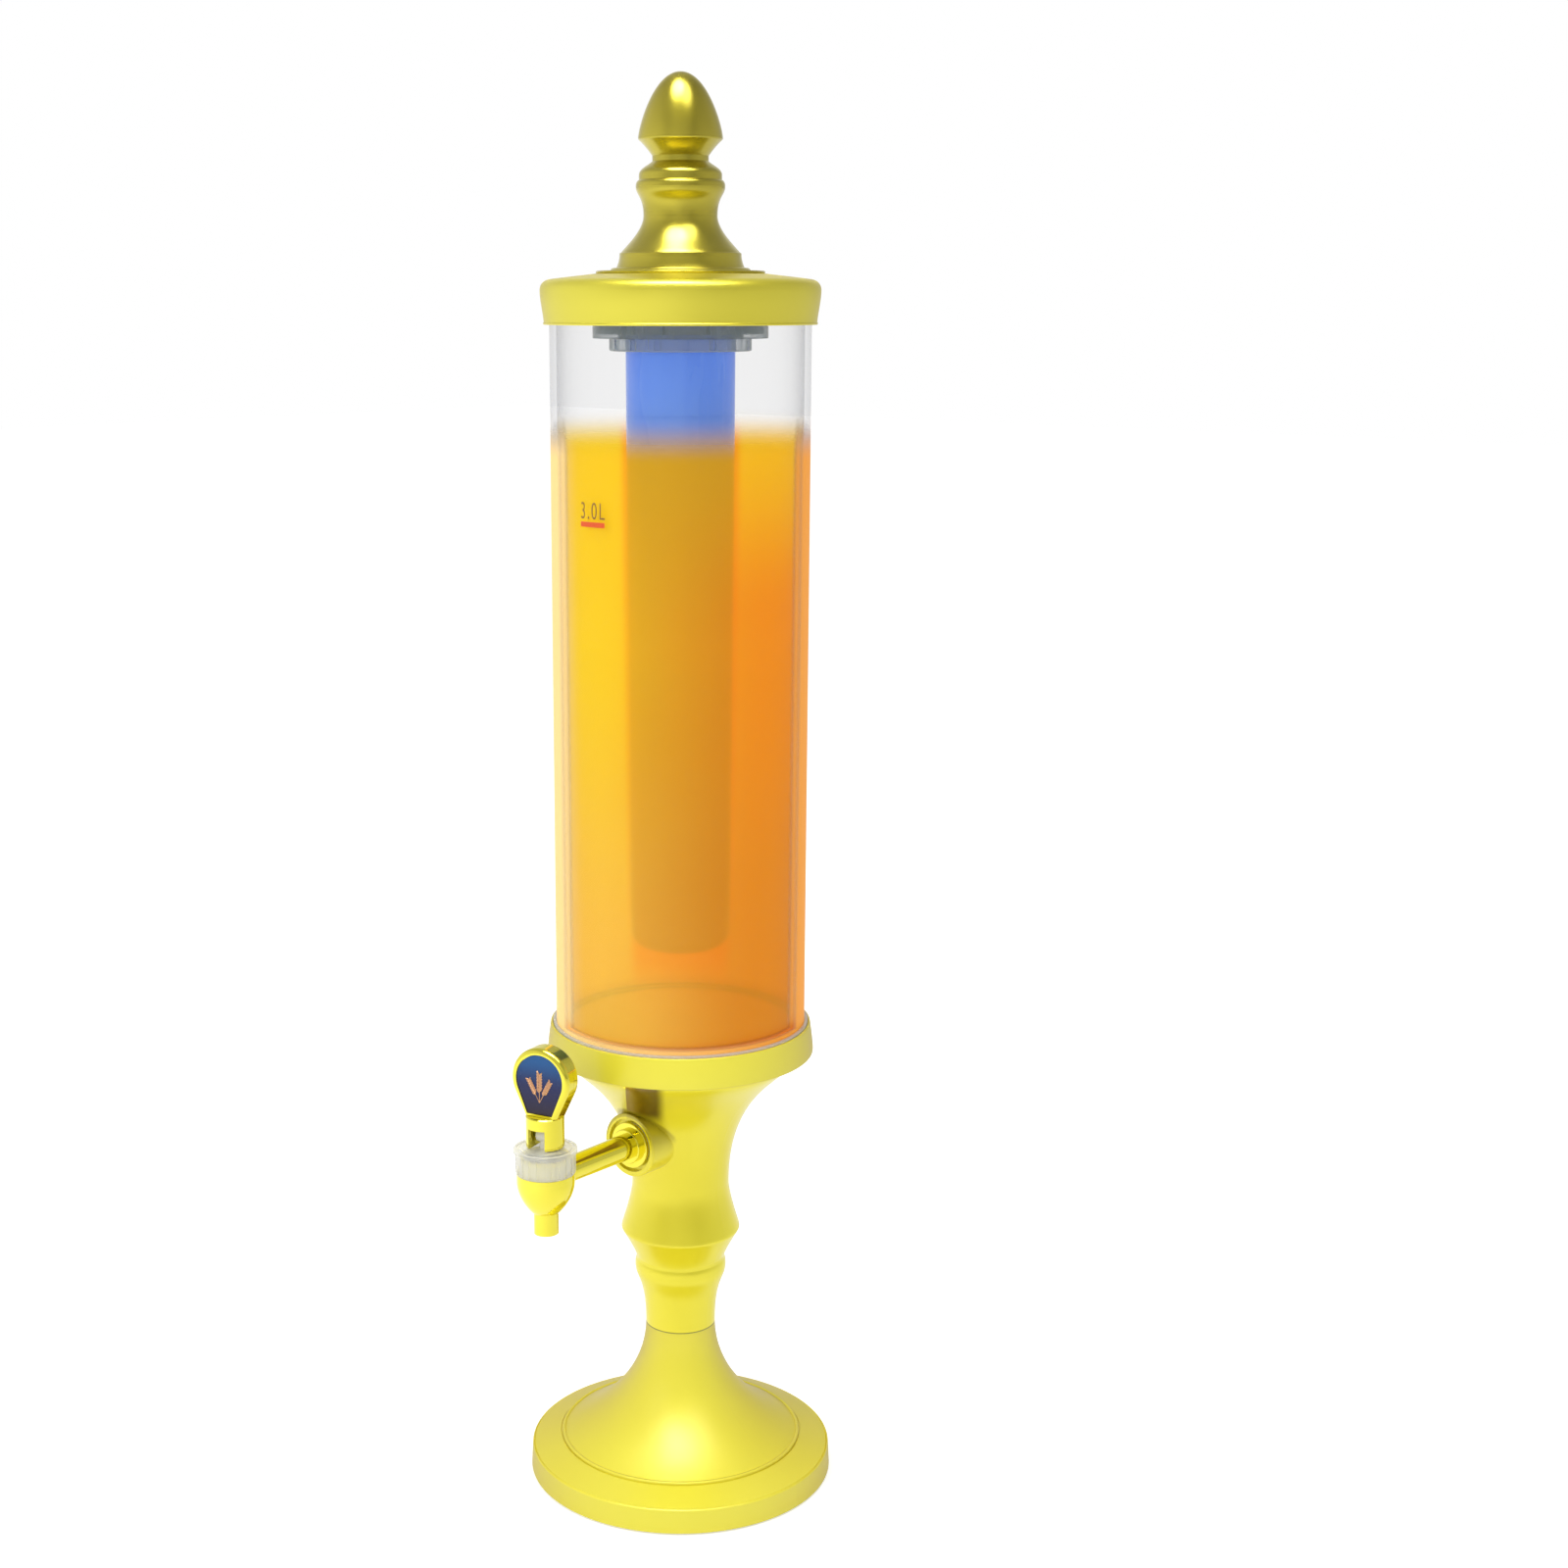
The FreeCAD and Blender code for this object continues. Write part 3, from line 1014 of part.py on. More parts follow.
def finial_pedestal():
    """Turned stem of the lid knob: plate, step, foot bead, waist, bead, collar and neck."""
    base = Z_LID_TOP
    plate = FINIAL_PLATE_THICKNESS
    step = plate + FINIAL_STEP_HEIGHT
    foot_to_waist, waist_to_bead = finial_outline(0)
    foot_top = base + FINIAL_FOOT_HEIGHT
    collar = base + FINIAL_COLLAR_HEIGHT
    neck = Z_FINIAL_NECK
    outer = turned([
        at(0, base),
        at(FINIAL_PLATE_RADIUS - plate / 2, base),
        arc(at(FINIAL_PLATE_RADIUS - plate / 2, base), at(FINIAL_PLATE_RADIUS, base + plate / 2),
            at(FINIAL_PLATE_RADIUS - plate / 2, base + plate)),
        at(FINIAL_STEP_RADIUS, base + plate),
        corner(at(FINIAL_STEP_RADIUS, base + plate), at(FINIAL_STEP_RADIUS, base + step),
               at(FINIAL_STEP_RADIUS - 2.2, base + step)),
        at(FINIAL_FOOT_RADIUS, base + step),
        swell(at(FINIAL_FOOT_RADIUS, base + step), Vec(-0.8, 0, 1.6),
              at(FINIAL_FOOT_TOP_RADIUS + FOOT_BEAD_EDGE, foot_top - FOOT_BEAD_EDGE), Vec(0.1, 0, 2.0)),
        corner(at(FINIAL_FOOT_TOP_RADIUS + FOOT_BEAD_EDGE, foot_top - FOOT_BEAD_EDGE),
               at(FINIAL_FOOT_TOP_RADIUS + FOOT_BEAD_EDGE, foot_top), at(FINIAL_FOOT_TOP_RADIUS, foot_top)),
        foot_to_waist,
        waist_to_bead,
        corner(at(FINIAL_BEAD_RADIUS, base + FINIAL_BEAD_HEIGHT),
               at(FINIAL_BEAD_RADIUS + 0.1, base + FINIAL_BEAD_HEIGHT + 2.4),
               at(FINIAL_COLLAR_RADIUS, base + FINIAL_BEAD_HEIGHT + 3.2)),
        at(FINIAL_COLLAR_RADIUS, collar),
        swell(at(FINIAL_COLLAR_RADIUS, collar), Vec(0, 0, 3.0),
              at(FINIAL_NECK_RADIUS, neck), Vec(-1.0, 0, 1.4)),
        at(FINIAL_NECK_RADIUS, Z_ACORN),
        at(0, Z_ACORN),
    ])
    hollow_foot, hollow_waist = finial_outline(FINIAL_WALL)
    hollow = turned([
        at(0, base - 1),
        at(hollow_foot.firstVertex().Point.x, base - 1),
        hollow_foot,
        hollow_waist,
        at(FINIAL_NECK_RADIUS - FINIAL_WALL, collar + FINIAL_WALL / 2),
        at(FINIAL_NECK_RADIUS - FINIAL_WALL, neck - 1),
        at(0, neck - 1),
    ])
    return outer.cut(hollow).cut(disc(STUD_RADIUS + FIT_GAP, neck - 2, Z_ACORN + 1))


def acorn_knob():
    """Acorn at the top of the lid, threaded onto the stud."""
    base = Z_ACORN
    cup_rim = at(ACORN_RADIUS - 0.7, base + ACORN_BASE_HEIGHT)
    shoulder = at(ACORN_RADIUS, cup_rim.z + ACORN_SHOULDER)
    tip = at(0, base + ACORN_HEIGHT)
    height = tip.z - shoulder.z
    outer = turned([
        at(0, base),
        at(FINIAL_NECK_RADIUS, base),
        swell(at(FINIAL_NECK_RADIUS, base), Vec(1.6, 0, 2.4), cup_rim, Vec(2.0, 0, 1.8)),
        corner(cup_rim, at(ACORN_RADIUS, cup_rim.z + 0.4), shoulder),
        swell(shoulder, Vec(0, 0, height * 0.14), tip, Vec(-ACORN_NOSE, 0, 0)),
    ])
    grip_radius = STUD_RADIUS + STUD_BOSS_WALL
    hollow = turned([
        at(0, base + ACORN_WALL),
        at(FINIAL_NECK_RADIUS - ACORN_WALL / 2, base + ACORN_WALL),
        swell(at(ACORN_RADIUS - ACORN_WALL, shoulder.z), Vec(0, 0, height * 0.14),
              at(0, tip.z - ACORN_WALL), Vec(-ACORN_NOSE * 0.8, 0, 0)),
    ])
    hollow = hollow.cut(disc(grip_radius, base, base + STUD_GRIP + ACORN_WALL))
    return outer.cut(hollow).cut(disc(STUD_RADIUS + PIN_GAP, base - 1, base + STUD_GRIP))


def finial_stud():
    low = Z_CEILING - STUD_WASHER_THICKNESS - STUD_NUT_HEIGHT - 1
    return disc(STUD_RADIUS, low, Z_ACORN + STUD_GRIP - FIT_GAP)


def stud_washer():
    return ring(STUD_WASHER_RADIUS, STUD_RADIUS + FIT_GAP, Z_CEILING - STUD_WASHER_THICKNESS, Z_CEILING)


def stud_nut():
    shape = nut(STUD_NUT_FLATS, STUD_RADIUS + PIN_GAP, STUD_NUT_HEIGHT)
    shape.translate(Vec(0, 0, Z_CEILING - STUD_WASHER_THICKNESS - STUD_NUT_HEIGHT))
    return shape


# ---------------------------------------------------------------- ice tube and its holder
def ice_holder():
    """Clear socket under the lid: outer ring, inner bore with a bayonet groove, and ribs between them."""
    inner_outer = HOLDER_BORE + LUG_REACH + HOLDER_WALL
    top = Z_CEILING
    outer_wall = ring(HOLDER_RADIUS, HOLDER_RADIUS - HOLDER_WALL, Z_HOLDER, top)
    web = ring(HOLDER_RADIUS, HOLDER_BORE, Z_HOLDER, Z_HOLDER + HOLDER_WALL)
    inner_wall = ring(inner_outer, HOLDER_BORE, Z_HOLDER, top)
    half = HOLDER_RIB_WIDTH / 2
    rib = block(inner_outer - 0.5, HOLDER_RADIUS - HOLDER_WALL + 0.5, -half, half,
                Z_HOLDER + HOLDER_WALL / 2, top)
    holder = joined(outer_wall, [web, inner_wall] + around(rib, HOLDER_RIBS))
    groove_low, groove_high = lug_levels()
    groove = ring(HOLDER_BORE + LUG_REACH, HOLDER_BORE - 1, groove_low - RUN_GAP, groove_high + RUN_GAP)
    holder = holder.cut(groove)
    slot_half = LUG_WIDTH / 2 + RUN_GAP
    entry = block(HOLDER_BORE - 1, HOLDER_BORE + LUG_REACH, -slot_half, slot_half, Z_HOLDER - 1, groove_high)
    entry.rotate(Vec(0, 0, 0), UP, 180.0 / LUG_COUNT)
    for cut in around(entry, LUG_COUNT):
        holder = holder.cut(cut)
    return holder


def lug_levels():
    middle = Z_HOLDER + HOLDER_WALL + LUG_HEIGHT
    return middle, middle + LUG_HEIGHT


def ice_collar():
    """Clear collar that plugs into the holder, turns in its bayonet groove and grips the ice tube."""
    neck_top = Z_HOLDER + COLLAR_NECK_LENGTH
    grip_top = Z_COLLAR + COLLAR_GRIP_HEIGHT
    groove = Z_COLLAR + ICE_PLUG_IN / 2
    collar = turned([
        at(COLLAR_BORE, Z_COLLAR),
        at(COLLAR_RADIUS - 1, Z_COLLAR),
        corner(at(COLLAR_RADIUS - 1, Z_COLLAR), at(COLLAR_RADIUS, Z_COLLAR),
               at(COLLAR_RADIUS, Z_COLLAR + 1)),
        at(COLLAR_RADIUS, grip_top),
        at(COLLAR_NECK_RADIUS, grip_top),
        at(COLLAR_NECK_RADIUS, neck_top),
        at(COLLAR_BORE, neck_top),
        at(COLLAR_BORE, groove + ORING_SECTION),
        at(COLLAR_BORE + ORING_SECTION, groove + ORING_SECTION),
        at(COLLAR_BORE + ORING_SECTION, groove - ORING_SECTION),
        at(COLLAR_BORE, groove - ORING_SECTION),
    ])
    half = COLLAR_GRIP_WIDTH / 2
    grip = block(COLLAR_RADIUS - COLLAR_GRIP_DEPTH, COLLAR_RADIUS + COLLAR_GRIP_DEPTH, -half, half,
                 Z_COLLAR + 0.8, grip_top - 0.4)
    for cut in around(grip, COLLAR_GRIPS):
        collar = collar.cut(cut)
    low, high = lug_levels()
    reach = HOLDER_BORE + LUG_REACH - RUN_GAP
    lug = block(COLLAR_NECK_RADIUS - 1, reach, -LUG_WIDTH / 2, LUG_WIDTH / 2, low, high)
    return joined(collar, around(lug, LUG_COUNT))


def collar_oring():
    middle = Z_COLLAR + ICE_PLUG_IN / 2
    half = ORING_SECTION - PIN_GAP
    outer = COLLAR_BORE + ORING_SECTION - PIN_GAP
    inner = ICE_RADIUS + PIN_GAP
    return ring(outer, inner, middle - half, middle + half)


def ice_tube():
    """Closed-ended tube for ice, narrower at its foot, with a plain end that plugs into the collar."""
    seat = Z_COLLAR - 1
    wall = ICE_WALL
    outer_foot = ICE_FOOT_RADIUS - ICE_FOOT_ROUND
    inner_round = ICE_FOOT_ROUND - wall
    return turned([
        at(0, Z_ICE_FOOT),
        at(outer_foot, Z_ICE_FOOT),
        swell(at(outer_foot, Z_ICE_FOOT), Vec(ICE_FOOT_ROUND * 0.55, 0, 0),
              at(ICE_FOOT_RADIUS, Z_ICE_FOOT + ICE_FOOT_ROUND), Vec(0, 0, ICE_FOOT_ROUND * 0.55)),
        at(ICE_RADIUS, seat),
        at(ICE_RADIUS, Z_ICE_TOP),
        at(ICE_RADIUS - wall, Z_ICE_TOP),
        at(ICE_RADIUS - wall, seat),
        swell(at(ICE_FOOT_RADIUS - wall, Z_ICE_FOOT + ICE_FOOT_ROUND), Vec(0, 0, -inner_round * 0.55),
              at(outer_foot, Z_ICE_FOOT + wall), Vec(-inner_round * 0.55, 0, 0)),
        at(0, Z_ICE_FOOT + wall),
    ])


# ---------------------------------------------------------------- all pieces
PIECES = {
    "foot_plate": foot_plate,
    "foot_cover": foot_cover,
    "foot_pad": foot_pad,
    "ballast_disc": ballast_disc,
    "rod_washer": rod_washer,
    "rod_nut": rod_nut,
    "tie_rod": tie_rod,
    "thread_insert": thread_insert,
    "pedestal": pedestal,
    "tower_body": tower_body,
    "seat_ring": seat_ring,
    "tube_gasket": tube_gasket,
    "end_cup": end_cup,
    "reservoir_tube": reservoir_tube,
    "shank_gasket": shank_gasket,
    "shank_washer": shank_washer,
    "inner_gasket": inner_gasket,
    "shank_nut": shank_nut,
    "tap_body": tap_body,
    "bonnet_nut": bonnet_nut,
    "stem_seal": stem_seal,
    "valve_stem": valve_stem,
    "valve_plug": valve_plug,
    "return_spring": return_spring,
    "lever_pin": lever_pin,
    "lever_body": lever_body,
    "paddle_front": paddle_front,
    "paddle_screws": paddle_screws,
    "badge_front": lambda: badge(True),
    "badge_back": lambda: badge(False),
    "lid_shell": lid_shell,
    "lid_seal": lid_seal,
    "finial_pedestal": finial_pedestal,
    "acorn_knob": acorn_knob,
    "finial_stud": finial_stud,
    "stud_washer": stud_washer,
    "stud_nut": stud_nut,
    "ice_holder": ice_holder,
    "ice_collar": ice_collar,
    "collar_oring": collar_oring,
    "ice_tube": ice_tube,
}

# the stem, and all that its pin carries, stand turned about the tap's axis
TURNED_PIECES = ("valve_stem", "lever_pin", "lever_body", "paddle_front", "paddle_screws", "badge_front",
                 "badge_back")

os.makedirs("parts", exist_ok=True)
for piece, make in PIECES.items():
    shape = make()
    if piece in TURNED_PIECES:
        shape.rotate(TAP_AXIS, UP, LEVER_TURN)
    save(piece, shape)
print("wrote", len(PIECES), "pieces; the tower is", round(Z_ACORN + ACORN_HEIGHT, 1), "mm tall")
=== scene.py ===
# %% [markdown]
# # A beer tower dispenser, dressed for a picture
# The tower is a clear tube on a turned stand, with a lever tap, a lift-off lid and a tube of ice in the
# drink. The hard parts come from the CAD model and keep their shape. This lesson gives each of them a
# finish, adds what a machinist doesn't draw (the drink, the printed mark, the coiled wire, the thread), and
# lights it all. Lengths are in metres, and MM turns a drawing's millimetres into them.

# %% Load the frame
import json
import math

import bmesh
import bpy
from mathutils import Matrix, Vector


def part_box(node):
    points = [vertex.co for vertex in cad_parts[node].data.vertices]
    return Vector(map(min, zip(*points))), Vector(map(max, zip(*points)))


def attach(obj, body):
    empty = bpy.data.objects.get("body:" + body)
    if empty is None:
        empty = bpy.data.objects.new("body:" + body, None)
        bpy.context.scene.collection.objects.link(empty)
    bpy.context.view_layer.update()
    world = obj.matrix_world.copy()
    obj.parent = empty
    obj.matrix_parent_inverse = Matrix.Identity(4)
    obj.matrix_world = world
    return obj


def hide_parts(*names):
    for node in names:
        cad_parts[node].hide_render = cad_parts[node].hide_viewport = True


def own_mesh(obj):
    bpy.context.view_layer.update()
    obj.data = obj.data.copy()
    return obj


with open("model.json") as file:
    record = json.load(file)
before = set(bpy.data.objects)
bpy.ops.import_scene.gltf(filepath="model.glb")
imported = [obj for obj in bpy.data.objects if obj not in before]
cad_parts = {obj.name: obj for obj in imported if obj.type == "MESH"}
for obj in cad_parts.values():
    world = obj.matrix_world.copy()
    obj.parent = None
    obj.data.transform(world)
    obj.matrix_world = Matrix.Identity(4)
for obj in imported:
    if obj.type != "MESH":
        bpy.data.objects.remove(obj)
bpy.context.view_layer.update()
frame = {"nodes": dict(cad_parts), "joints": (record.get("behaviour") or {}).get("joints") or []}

nodes = frame["nodes"]
MM = 0.001

# %% [markdown]
# ## Three directions in the room
# The tower is shown three quarters on: its tap points 41 degrees to the left of the front. FRONT points from
# its axis to that front, and RIGHT to the side on the right of it. The lamps are placed by them, and so is
# the painted light and shade that differs from one side of the tower to the other: in the drink, at the
# tube's rim, in the floor's reflection and round the boss. They are fixed in the room, so a colour stays
# where it is on the tower, whichever way it is looked at.

# %% Directions
QUARTER = math.radians(41.0)
FRONT = Vector((math.sin(QUARTER), -math.cos(QUARTER), 0))
RIGHT = Vector((math.cos(QUARTER), math.sin(QUARTER), 0))
UP = Vector((0, 0, 1))
print("front:", [round(v, 3) for v in FRONT], "right:", [round(v, 3) for v in RIGHT])

# %% [markdown]
# ## The camera
# A tall, thin thing is best shown from over a metre away, from a little under its lid and looking down by
# some twelve degrees, so that the lid and the foot both show as ovals. A Track To constraint could aim the
# camera. Plain angles are used instead, because they read like a tripod's. A small sideways shift sets the
# tower left of the middle without turning the camera, which would tip the ovals.

# %% Camera
CAMERA_DISTANCE = 1.1276
CAMERA_HEIGHT = 0.59725
CAMERA_TILT_DOWN = 11.73
SENSOR = 36.0
LENS_PER_SENSOR = 2372 / 1600
SIDEWAYS_SHIFT = 0.066

camera_data = bpy.data.cameras.new("camera")
camera_data.sensor_width = SENSOR
camera_data.lens = LENS_PER_SENSOR * SENSOR
camera_data.shift_x = SIDEWAYS_SHIFT
camera = bpy.data.objects.new("camera", camera_data)
camera.location = (
    math.sin(QUARTER) * CAMERA_DISTANCE, -math.cos(QUARTER) * CAMERA_DISTANCE, CAMERA_HEIGHT)
camera.rotation_euler = (math.radians(90 - CAMERA_TILT_DOWN), 0, QUARTER)
bpy.context.scene.collection.objects.link(camera)
bpy.context.scene.camera = camera
print("lens in mm:", round(camera_data.lens, 2))

# %% [markdown]
# ## Helpers for node trees
# A node tree is easier to read when one line makes a node, sets what is constant and links what isn't.
# Blender's own calls take three or four lines for that, so `place` and `feed` wrap them. `srgb` turns the
# 0 to 255 numbers of a colour chart into the linear values of a shader, without which colours look too pale.

# %% Node helpers
def srgb(red, green, blue):
    """A colour chart's 0 to 255 values as linear light, with full alpha."""
    def linear(value):
        value /= 255
        return value / 12.92 if value <= 0.04045 else ((value + 0.055) / 1.055) ** 2.4
    return (linear(red), linear(green), linear(blue), 1.0)


def feed(tree, node, inputs):
    """Gives a node's inputs their values. A socket is linked, and any other value is set."""
    for name, value in inputs.items():
        if isinstance(value, bpy.types.NodeSocket):
            tree.links.new(value, node.inputs[name])
        else:
            node.inputs[name].default_value = value


def place(tree, kind, inputs=None, **settings):
    """Adds a node with these settings and inputs."""
    node = tree.nodes.new(kind)
    for name, value in settings.items():
        setattr(node, name, value)
    feed(tree, node, inputs or {})
    return node


def shader_group(name, inputs, outputs):
    """An empty node group and its input and output nodes."""
    tree = bpy.data.node_groups.new(name, "ShaderNodeTree")
    for side, sockets in (("INPUT", inputs), ("OUTPUT", outputs)):
        for label, kind in sockets.items():
            tree.interface.new_socket(label, in_out=side, socket_type="NodeSocket" + kind)
    return tree, tree.nodes.new("NodeGroupInput"), tree.nodes.new("NodeGroupOutput")


BLACK, WHITE = (0, 0, 0, 1), (1, 1, 1, 1)
print("a chart's middle grey as linear light:", round(srgb(128, 128, 128)[0], 3))

# %% [markdown]
# ## Helpers for masks
# Most finishes here come down to masks: a number from 0 to 1 that says how much of a mark a point has. A
# mask is a measure (a height, a distance, a noise) taken from one range to another. Masks multiply where
# both have to hold, and the result blends two colours. A few short functions keep that readable.

# %% Mask helpers
def along(tree, where, direction):
    """How far a point lies along a direction."""
    return place(tree, "ShaderNodeVectorMath", {0: where, 1: direction},
                 operation="DOT_PRODUCT").outputs["Value"]


def maths(tree, operation, first, second=0.0):
    """The value socket of a Math node."""
    return place(tree, "ShaderNodeMath", {0: first, 1: second}, operation=operation).outputs[0]


def product(tree, first, *others):
    """All of these multiplied."""
    for other in others:
        first = maths(tree, "MULTIPLY", first, other)
    return first


def remap(tree, value, low, high, to_low=0.0, to_high=1.0, smooth=False):
    """value taken from the range low..high to another range, held at its ends."""
    return place(
        tree, "ShaderNodeMapRange",
        {"Value": value, "From Min": low, "From Max": high, "To Min": to_low, "To Max": to_high},
        interpolation_type="SMOOTHSTEP" if smooth else "LINEAR").outputs["Result"]


def mixed(tree, share, first, second):
    """The number between first and second."""
    return place(tree, "ShaderNodeMix", {0: share, 2: first, 3: second}).outputs[0]


def blended(tree, share, first, second):
    """The colour between first and second."""
    return place(tree, "ShaderNodeMix", {0: share, 6: first, 7: second}, data_type="RGBA").outputs[2]


def noise(tree, vector, scale, detail=2.0):
    """Noise centred on 0.5, with features about 1 / scale metres apart."""
    return place(
        tree, "ShaderNodeTexNoise", {"Vector": vector, "Scale": scale, "Detail": detail}).outputs[0]


print("mask helpers ready")

# %% [markdown]
# ## What plated plastic looks like close up
# The gold is a thin film of metal on moulded plastic, under a lacquer. Its colour drifts a little over a
# hand's width, the lacquer ripples like an orange's peel, and cleaning leaves duller patches. Each material
# could draw these marks for itself. They are one group instead, which every gold places with its own values.

# %% Plated skin group
DRIFT_SCALE, PATCH_SCALE, RIPPLE_SCALE, PEEL_SCALE = 9.0, 28.0, 70.0, 1600.0
PEEL_SHARE = 0.12

skin, skin_in, skin_out = shader_group(
    "plated_skin",
    {"Position": "Vector", "Deep": "Color", "Bright": "Color", "Low Roughness": "Float",
     "High Roughness": "Float"},
    {"Color": "Color", "Roughness": "Float", "Height": "Float"})
given = skin_in.outputs
drift = remap(skin, noise(skin, given["Position"], DRIFT_SCALE, 1.0), 0.3, 0.7, smooth=True)
wiped = remap(skin, noise(skin, given["Position"], PATCH_SCALE, 2.0), 0.3, 0.75, smooth=True)
peel = product(skin, noise(skin, given["Position"], PEEL_SCALE, 1.0), PEEL_SHARE)
feed(skin, skin_out, {
    "Color": blended(skin, drift, given["Deep"], given["Bright"]),
    "Roughness": mixed(skin, wiped, given["Low Roughness"], given["High Roughness"]),
    "Height": maths(skin, "ADD", noise(skin, given["Position"], RIPPLE_SCALE, 0.0), peel)})
print("group:", skin.name, [s.name for s in skin.interface.items_tree])

# %% [markdown]
# ## Fine lines: where a mould parted and where parts meet
# A mould opens in two halves, and a thin line shows on the moulding where they met. A thin dark line also
# shows where two turned parts meet, because dust and shade gather there. Either could be cut into the mesh,
# but a tenth of a millimetre would need a very fine one. Both are the distance from a plane, taken down to a
# narrow mask.

# %% Fine line group
fine_line, line_in, line_out = shader_group(
    "fine_line", {"Distance": "Float", "Half Width": "Float"}, {"Line": "Float"})
off_line = maths(fine_line, "DIVIDE", maths(fine_line, "ABSOLUTE", line_in.outputs["Distance"]),
                 line_in.outputs["Half Width"])
feed(fine_line, line_out, {
    "Line": maths(fine_line, "SUBTRACT", 1.0, maths(fine_line, "MINIMUM", off_line, 1.0))})


def line_at(tree, coordinate, place_of_line, half_width):
    """The mask of a fine line where the coordinate has this value."""
    apart = maths(tree, "SUBTRACT", coordinate, place_of_line)
    return place(tree, "ShaderNodeGroup", {"Distance": apart, "Half Width": half_width},
                 node_tree=fine_line).outputs["Line"]


print("group:", fine_line.name)

# %% [markdown]
# ## The start of every material
# Each finish is a Principled shader that reads Object coordinates. Generated coordinates stretch with a
# piece's box, so a grain would differ in size from piece to piece. Object coordinates are metres on every
# piece, and they stay put when a joint moves. Relief too fine for a mesh goes in as a bump.

# %% Material helpers
def new_material(name):
    """An empty node material, with its tree, its shader and its Object coordinates."""
    material = bpy.data.materials.new(name)
    material.use_nodes = True
    tree = material.node_tree
    tree.nodes.clear()
    shader = tree.nodes.new("ShaderNodeBsdfPrincipled")
    out = tree.nodes.new("ShaderNodeOutputMaterial")
    tree.links.new(shader.outputs[0], out.inputs["Surface"])
    where = tree.nodes.new("ShaderNodeTexCoord").outputs["Object"]
    return material, tree, shader, where


def glancing(tree, blend=0.5):
    """0 where a surface is seen square on, up to 1 at a glancing angle."""
    return place(tree, "ShaderNodeLayerWeight", {"Blend": blend}).outputs["Facing"]


def bumped(tree, shader, height, distance):
    """Feeds a height, in units of distance metres, to the shader's normal."""
    bump = place(tree, "ShaderNodeBump", {"Height": height, "Distance": distance, "Strength": 1.0})
    tree.links.new(bump.outputs[0], shader.inputs["Normal"])


print("material helpers ready")

# %% [markdown]
# ## The tarnish round the boss
# The tap's boss stands out from the column, and soft light hardly reaches the hollow between it and the
# flare above. The shade there, and on the boss's upper flank beside it, is painted into the colour as an
# olive brown. An Ambient Occlusion node would find such hollows, but it darkens every corner of the tower
# alike. A mask in the tower's own coordinates keeps the painted shade in this hollow and on that flank. It
# also reads FRONT, so the painted shade sits on the side that faces the front.

# %% Painted shade round the boss
BOSS_AXIS = sum((corner.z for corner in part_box("shank_washer")), 0.0) / 2
BOSS_ROOT = 25.5 * MM
BOSS_RADIUS = 17.5 * MM
HOLLOW_LEFT, HOLLOW_RIGHT = -26.6 * MM, -12.5 * MM


def painted_hollow_shade(tree, where, colour):
    """Paints shade into the hollow over the boss, darker to its right."""
    across, height = along(tree, where, RIGHT), along(tree, where, UP)
    mask = product(
        tree, remap(tree, across, HOLLOW_LEFT - 0.3 * MM, HOLLOW_LEFT),
        remap(tree, across, HOLLOW_RIGHT + 6 * MM, HOLLOW_RIGHT, smooth=True),
        remap(tree, height, BOSS_AXIS + 11 * MM, BOSS_AXIS + 20 * MM, smooth=True),
        remap(tree, along(tree, where, FRONT), 0.0, 8 * MM), 0.96)
    deeper = remap(tree, across, HOLLOW_LEFT, HOLLOW_RIGHT, smooth=True)
    return blended(tree, mask, colour, blended(tree, deeper, srgb(146, 112, 0), srgb(104, 76, 0)))


def painted_flank_shade(tree, where, colour):
    """Paints shade on the boss's own round flank, from its middle upwards."""
    from_axis = place(tree, "ShaderNodeVectorMath", {0: where, 1: (0, 0, -BOSS_AXIS)},
                      operation="ADD").outputs[0]
    from_axis = place(tree, "ShaderNodeVectorMath", {0: from_axis, 1: (1, 0, 1)},
                      operation="MULTIPLY").outputs[0]
    reach = place(tree, "ShaderNodeVectorMath", {0: from_axis}, operation="LENGTH").outputs["Value"]
    mask = product(
        tree, remap(tree, reach, BOSS_RADIUS - 3.2 * MM, BOSS_RADIUS - 2.6 * MM),
        remap(tree, along(tree, where, UP), BOSS_AXIS - 8 * MM, BOSS_AXIS + 10 * MM, smooth=True),
        remap(tree, along(tree, where, Vector((0, -1, 0))), BOSS_ROOT - 2 * MM, BOSS_ROOT),
        remap(tree, reach, BOSS_RADIUS + 2 * MM, BOSS_RADIUS + 0.5 * MM), 0.7)
    return blended(tree, mask, colour, srgb(164, 148, 24))


print("boss axis in mm:", round(BOSS_AXIS / MM, 2))

# %% [markdown]
# ## How a gold is made
# A gold could be a plain metallic shader, which is right for solid brass. Plated plastic is softer: the
# lacquer scatters part of the light before it meets the metal, and keeps its own white gleam. So each gold
# mixes some matt colour in by a lower Metallic, and wears a coat. Layer Weight turns the colour to a painted
# rim colour where the wall turns away: a pale one is a painted sheen, a deep one painted shade. It also thins
# the coat there, or the pale room would wash out the rims.

# %% Gold recipe
LACQUER_IOR = 1.5
SEAM_SHADE = srgb(78, 74, 22)
SEAM_SHARE = 0.85
SEAM_HALF_WIDTH = 0.55 * MM
MOULD_HALF_WIDTH = 0.35 * MM
MOULD_RIDGE = 4.0


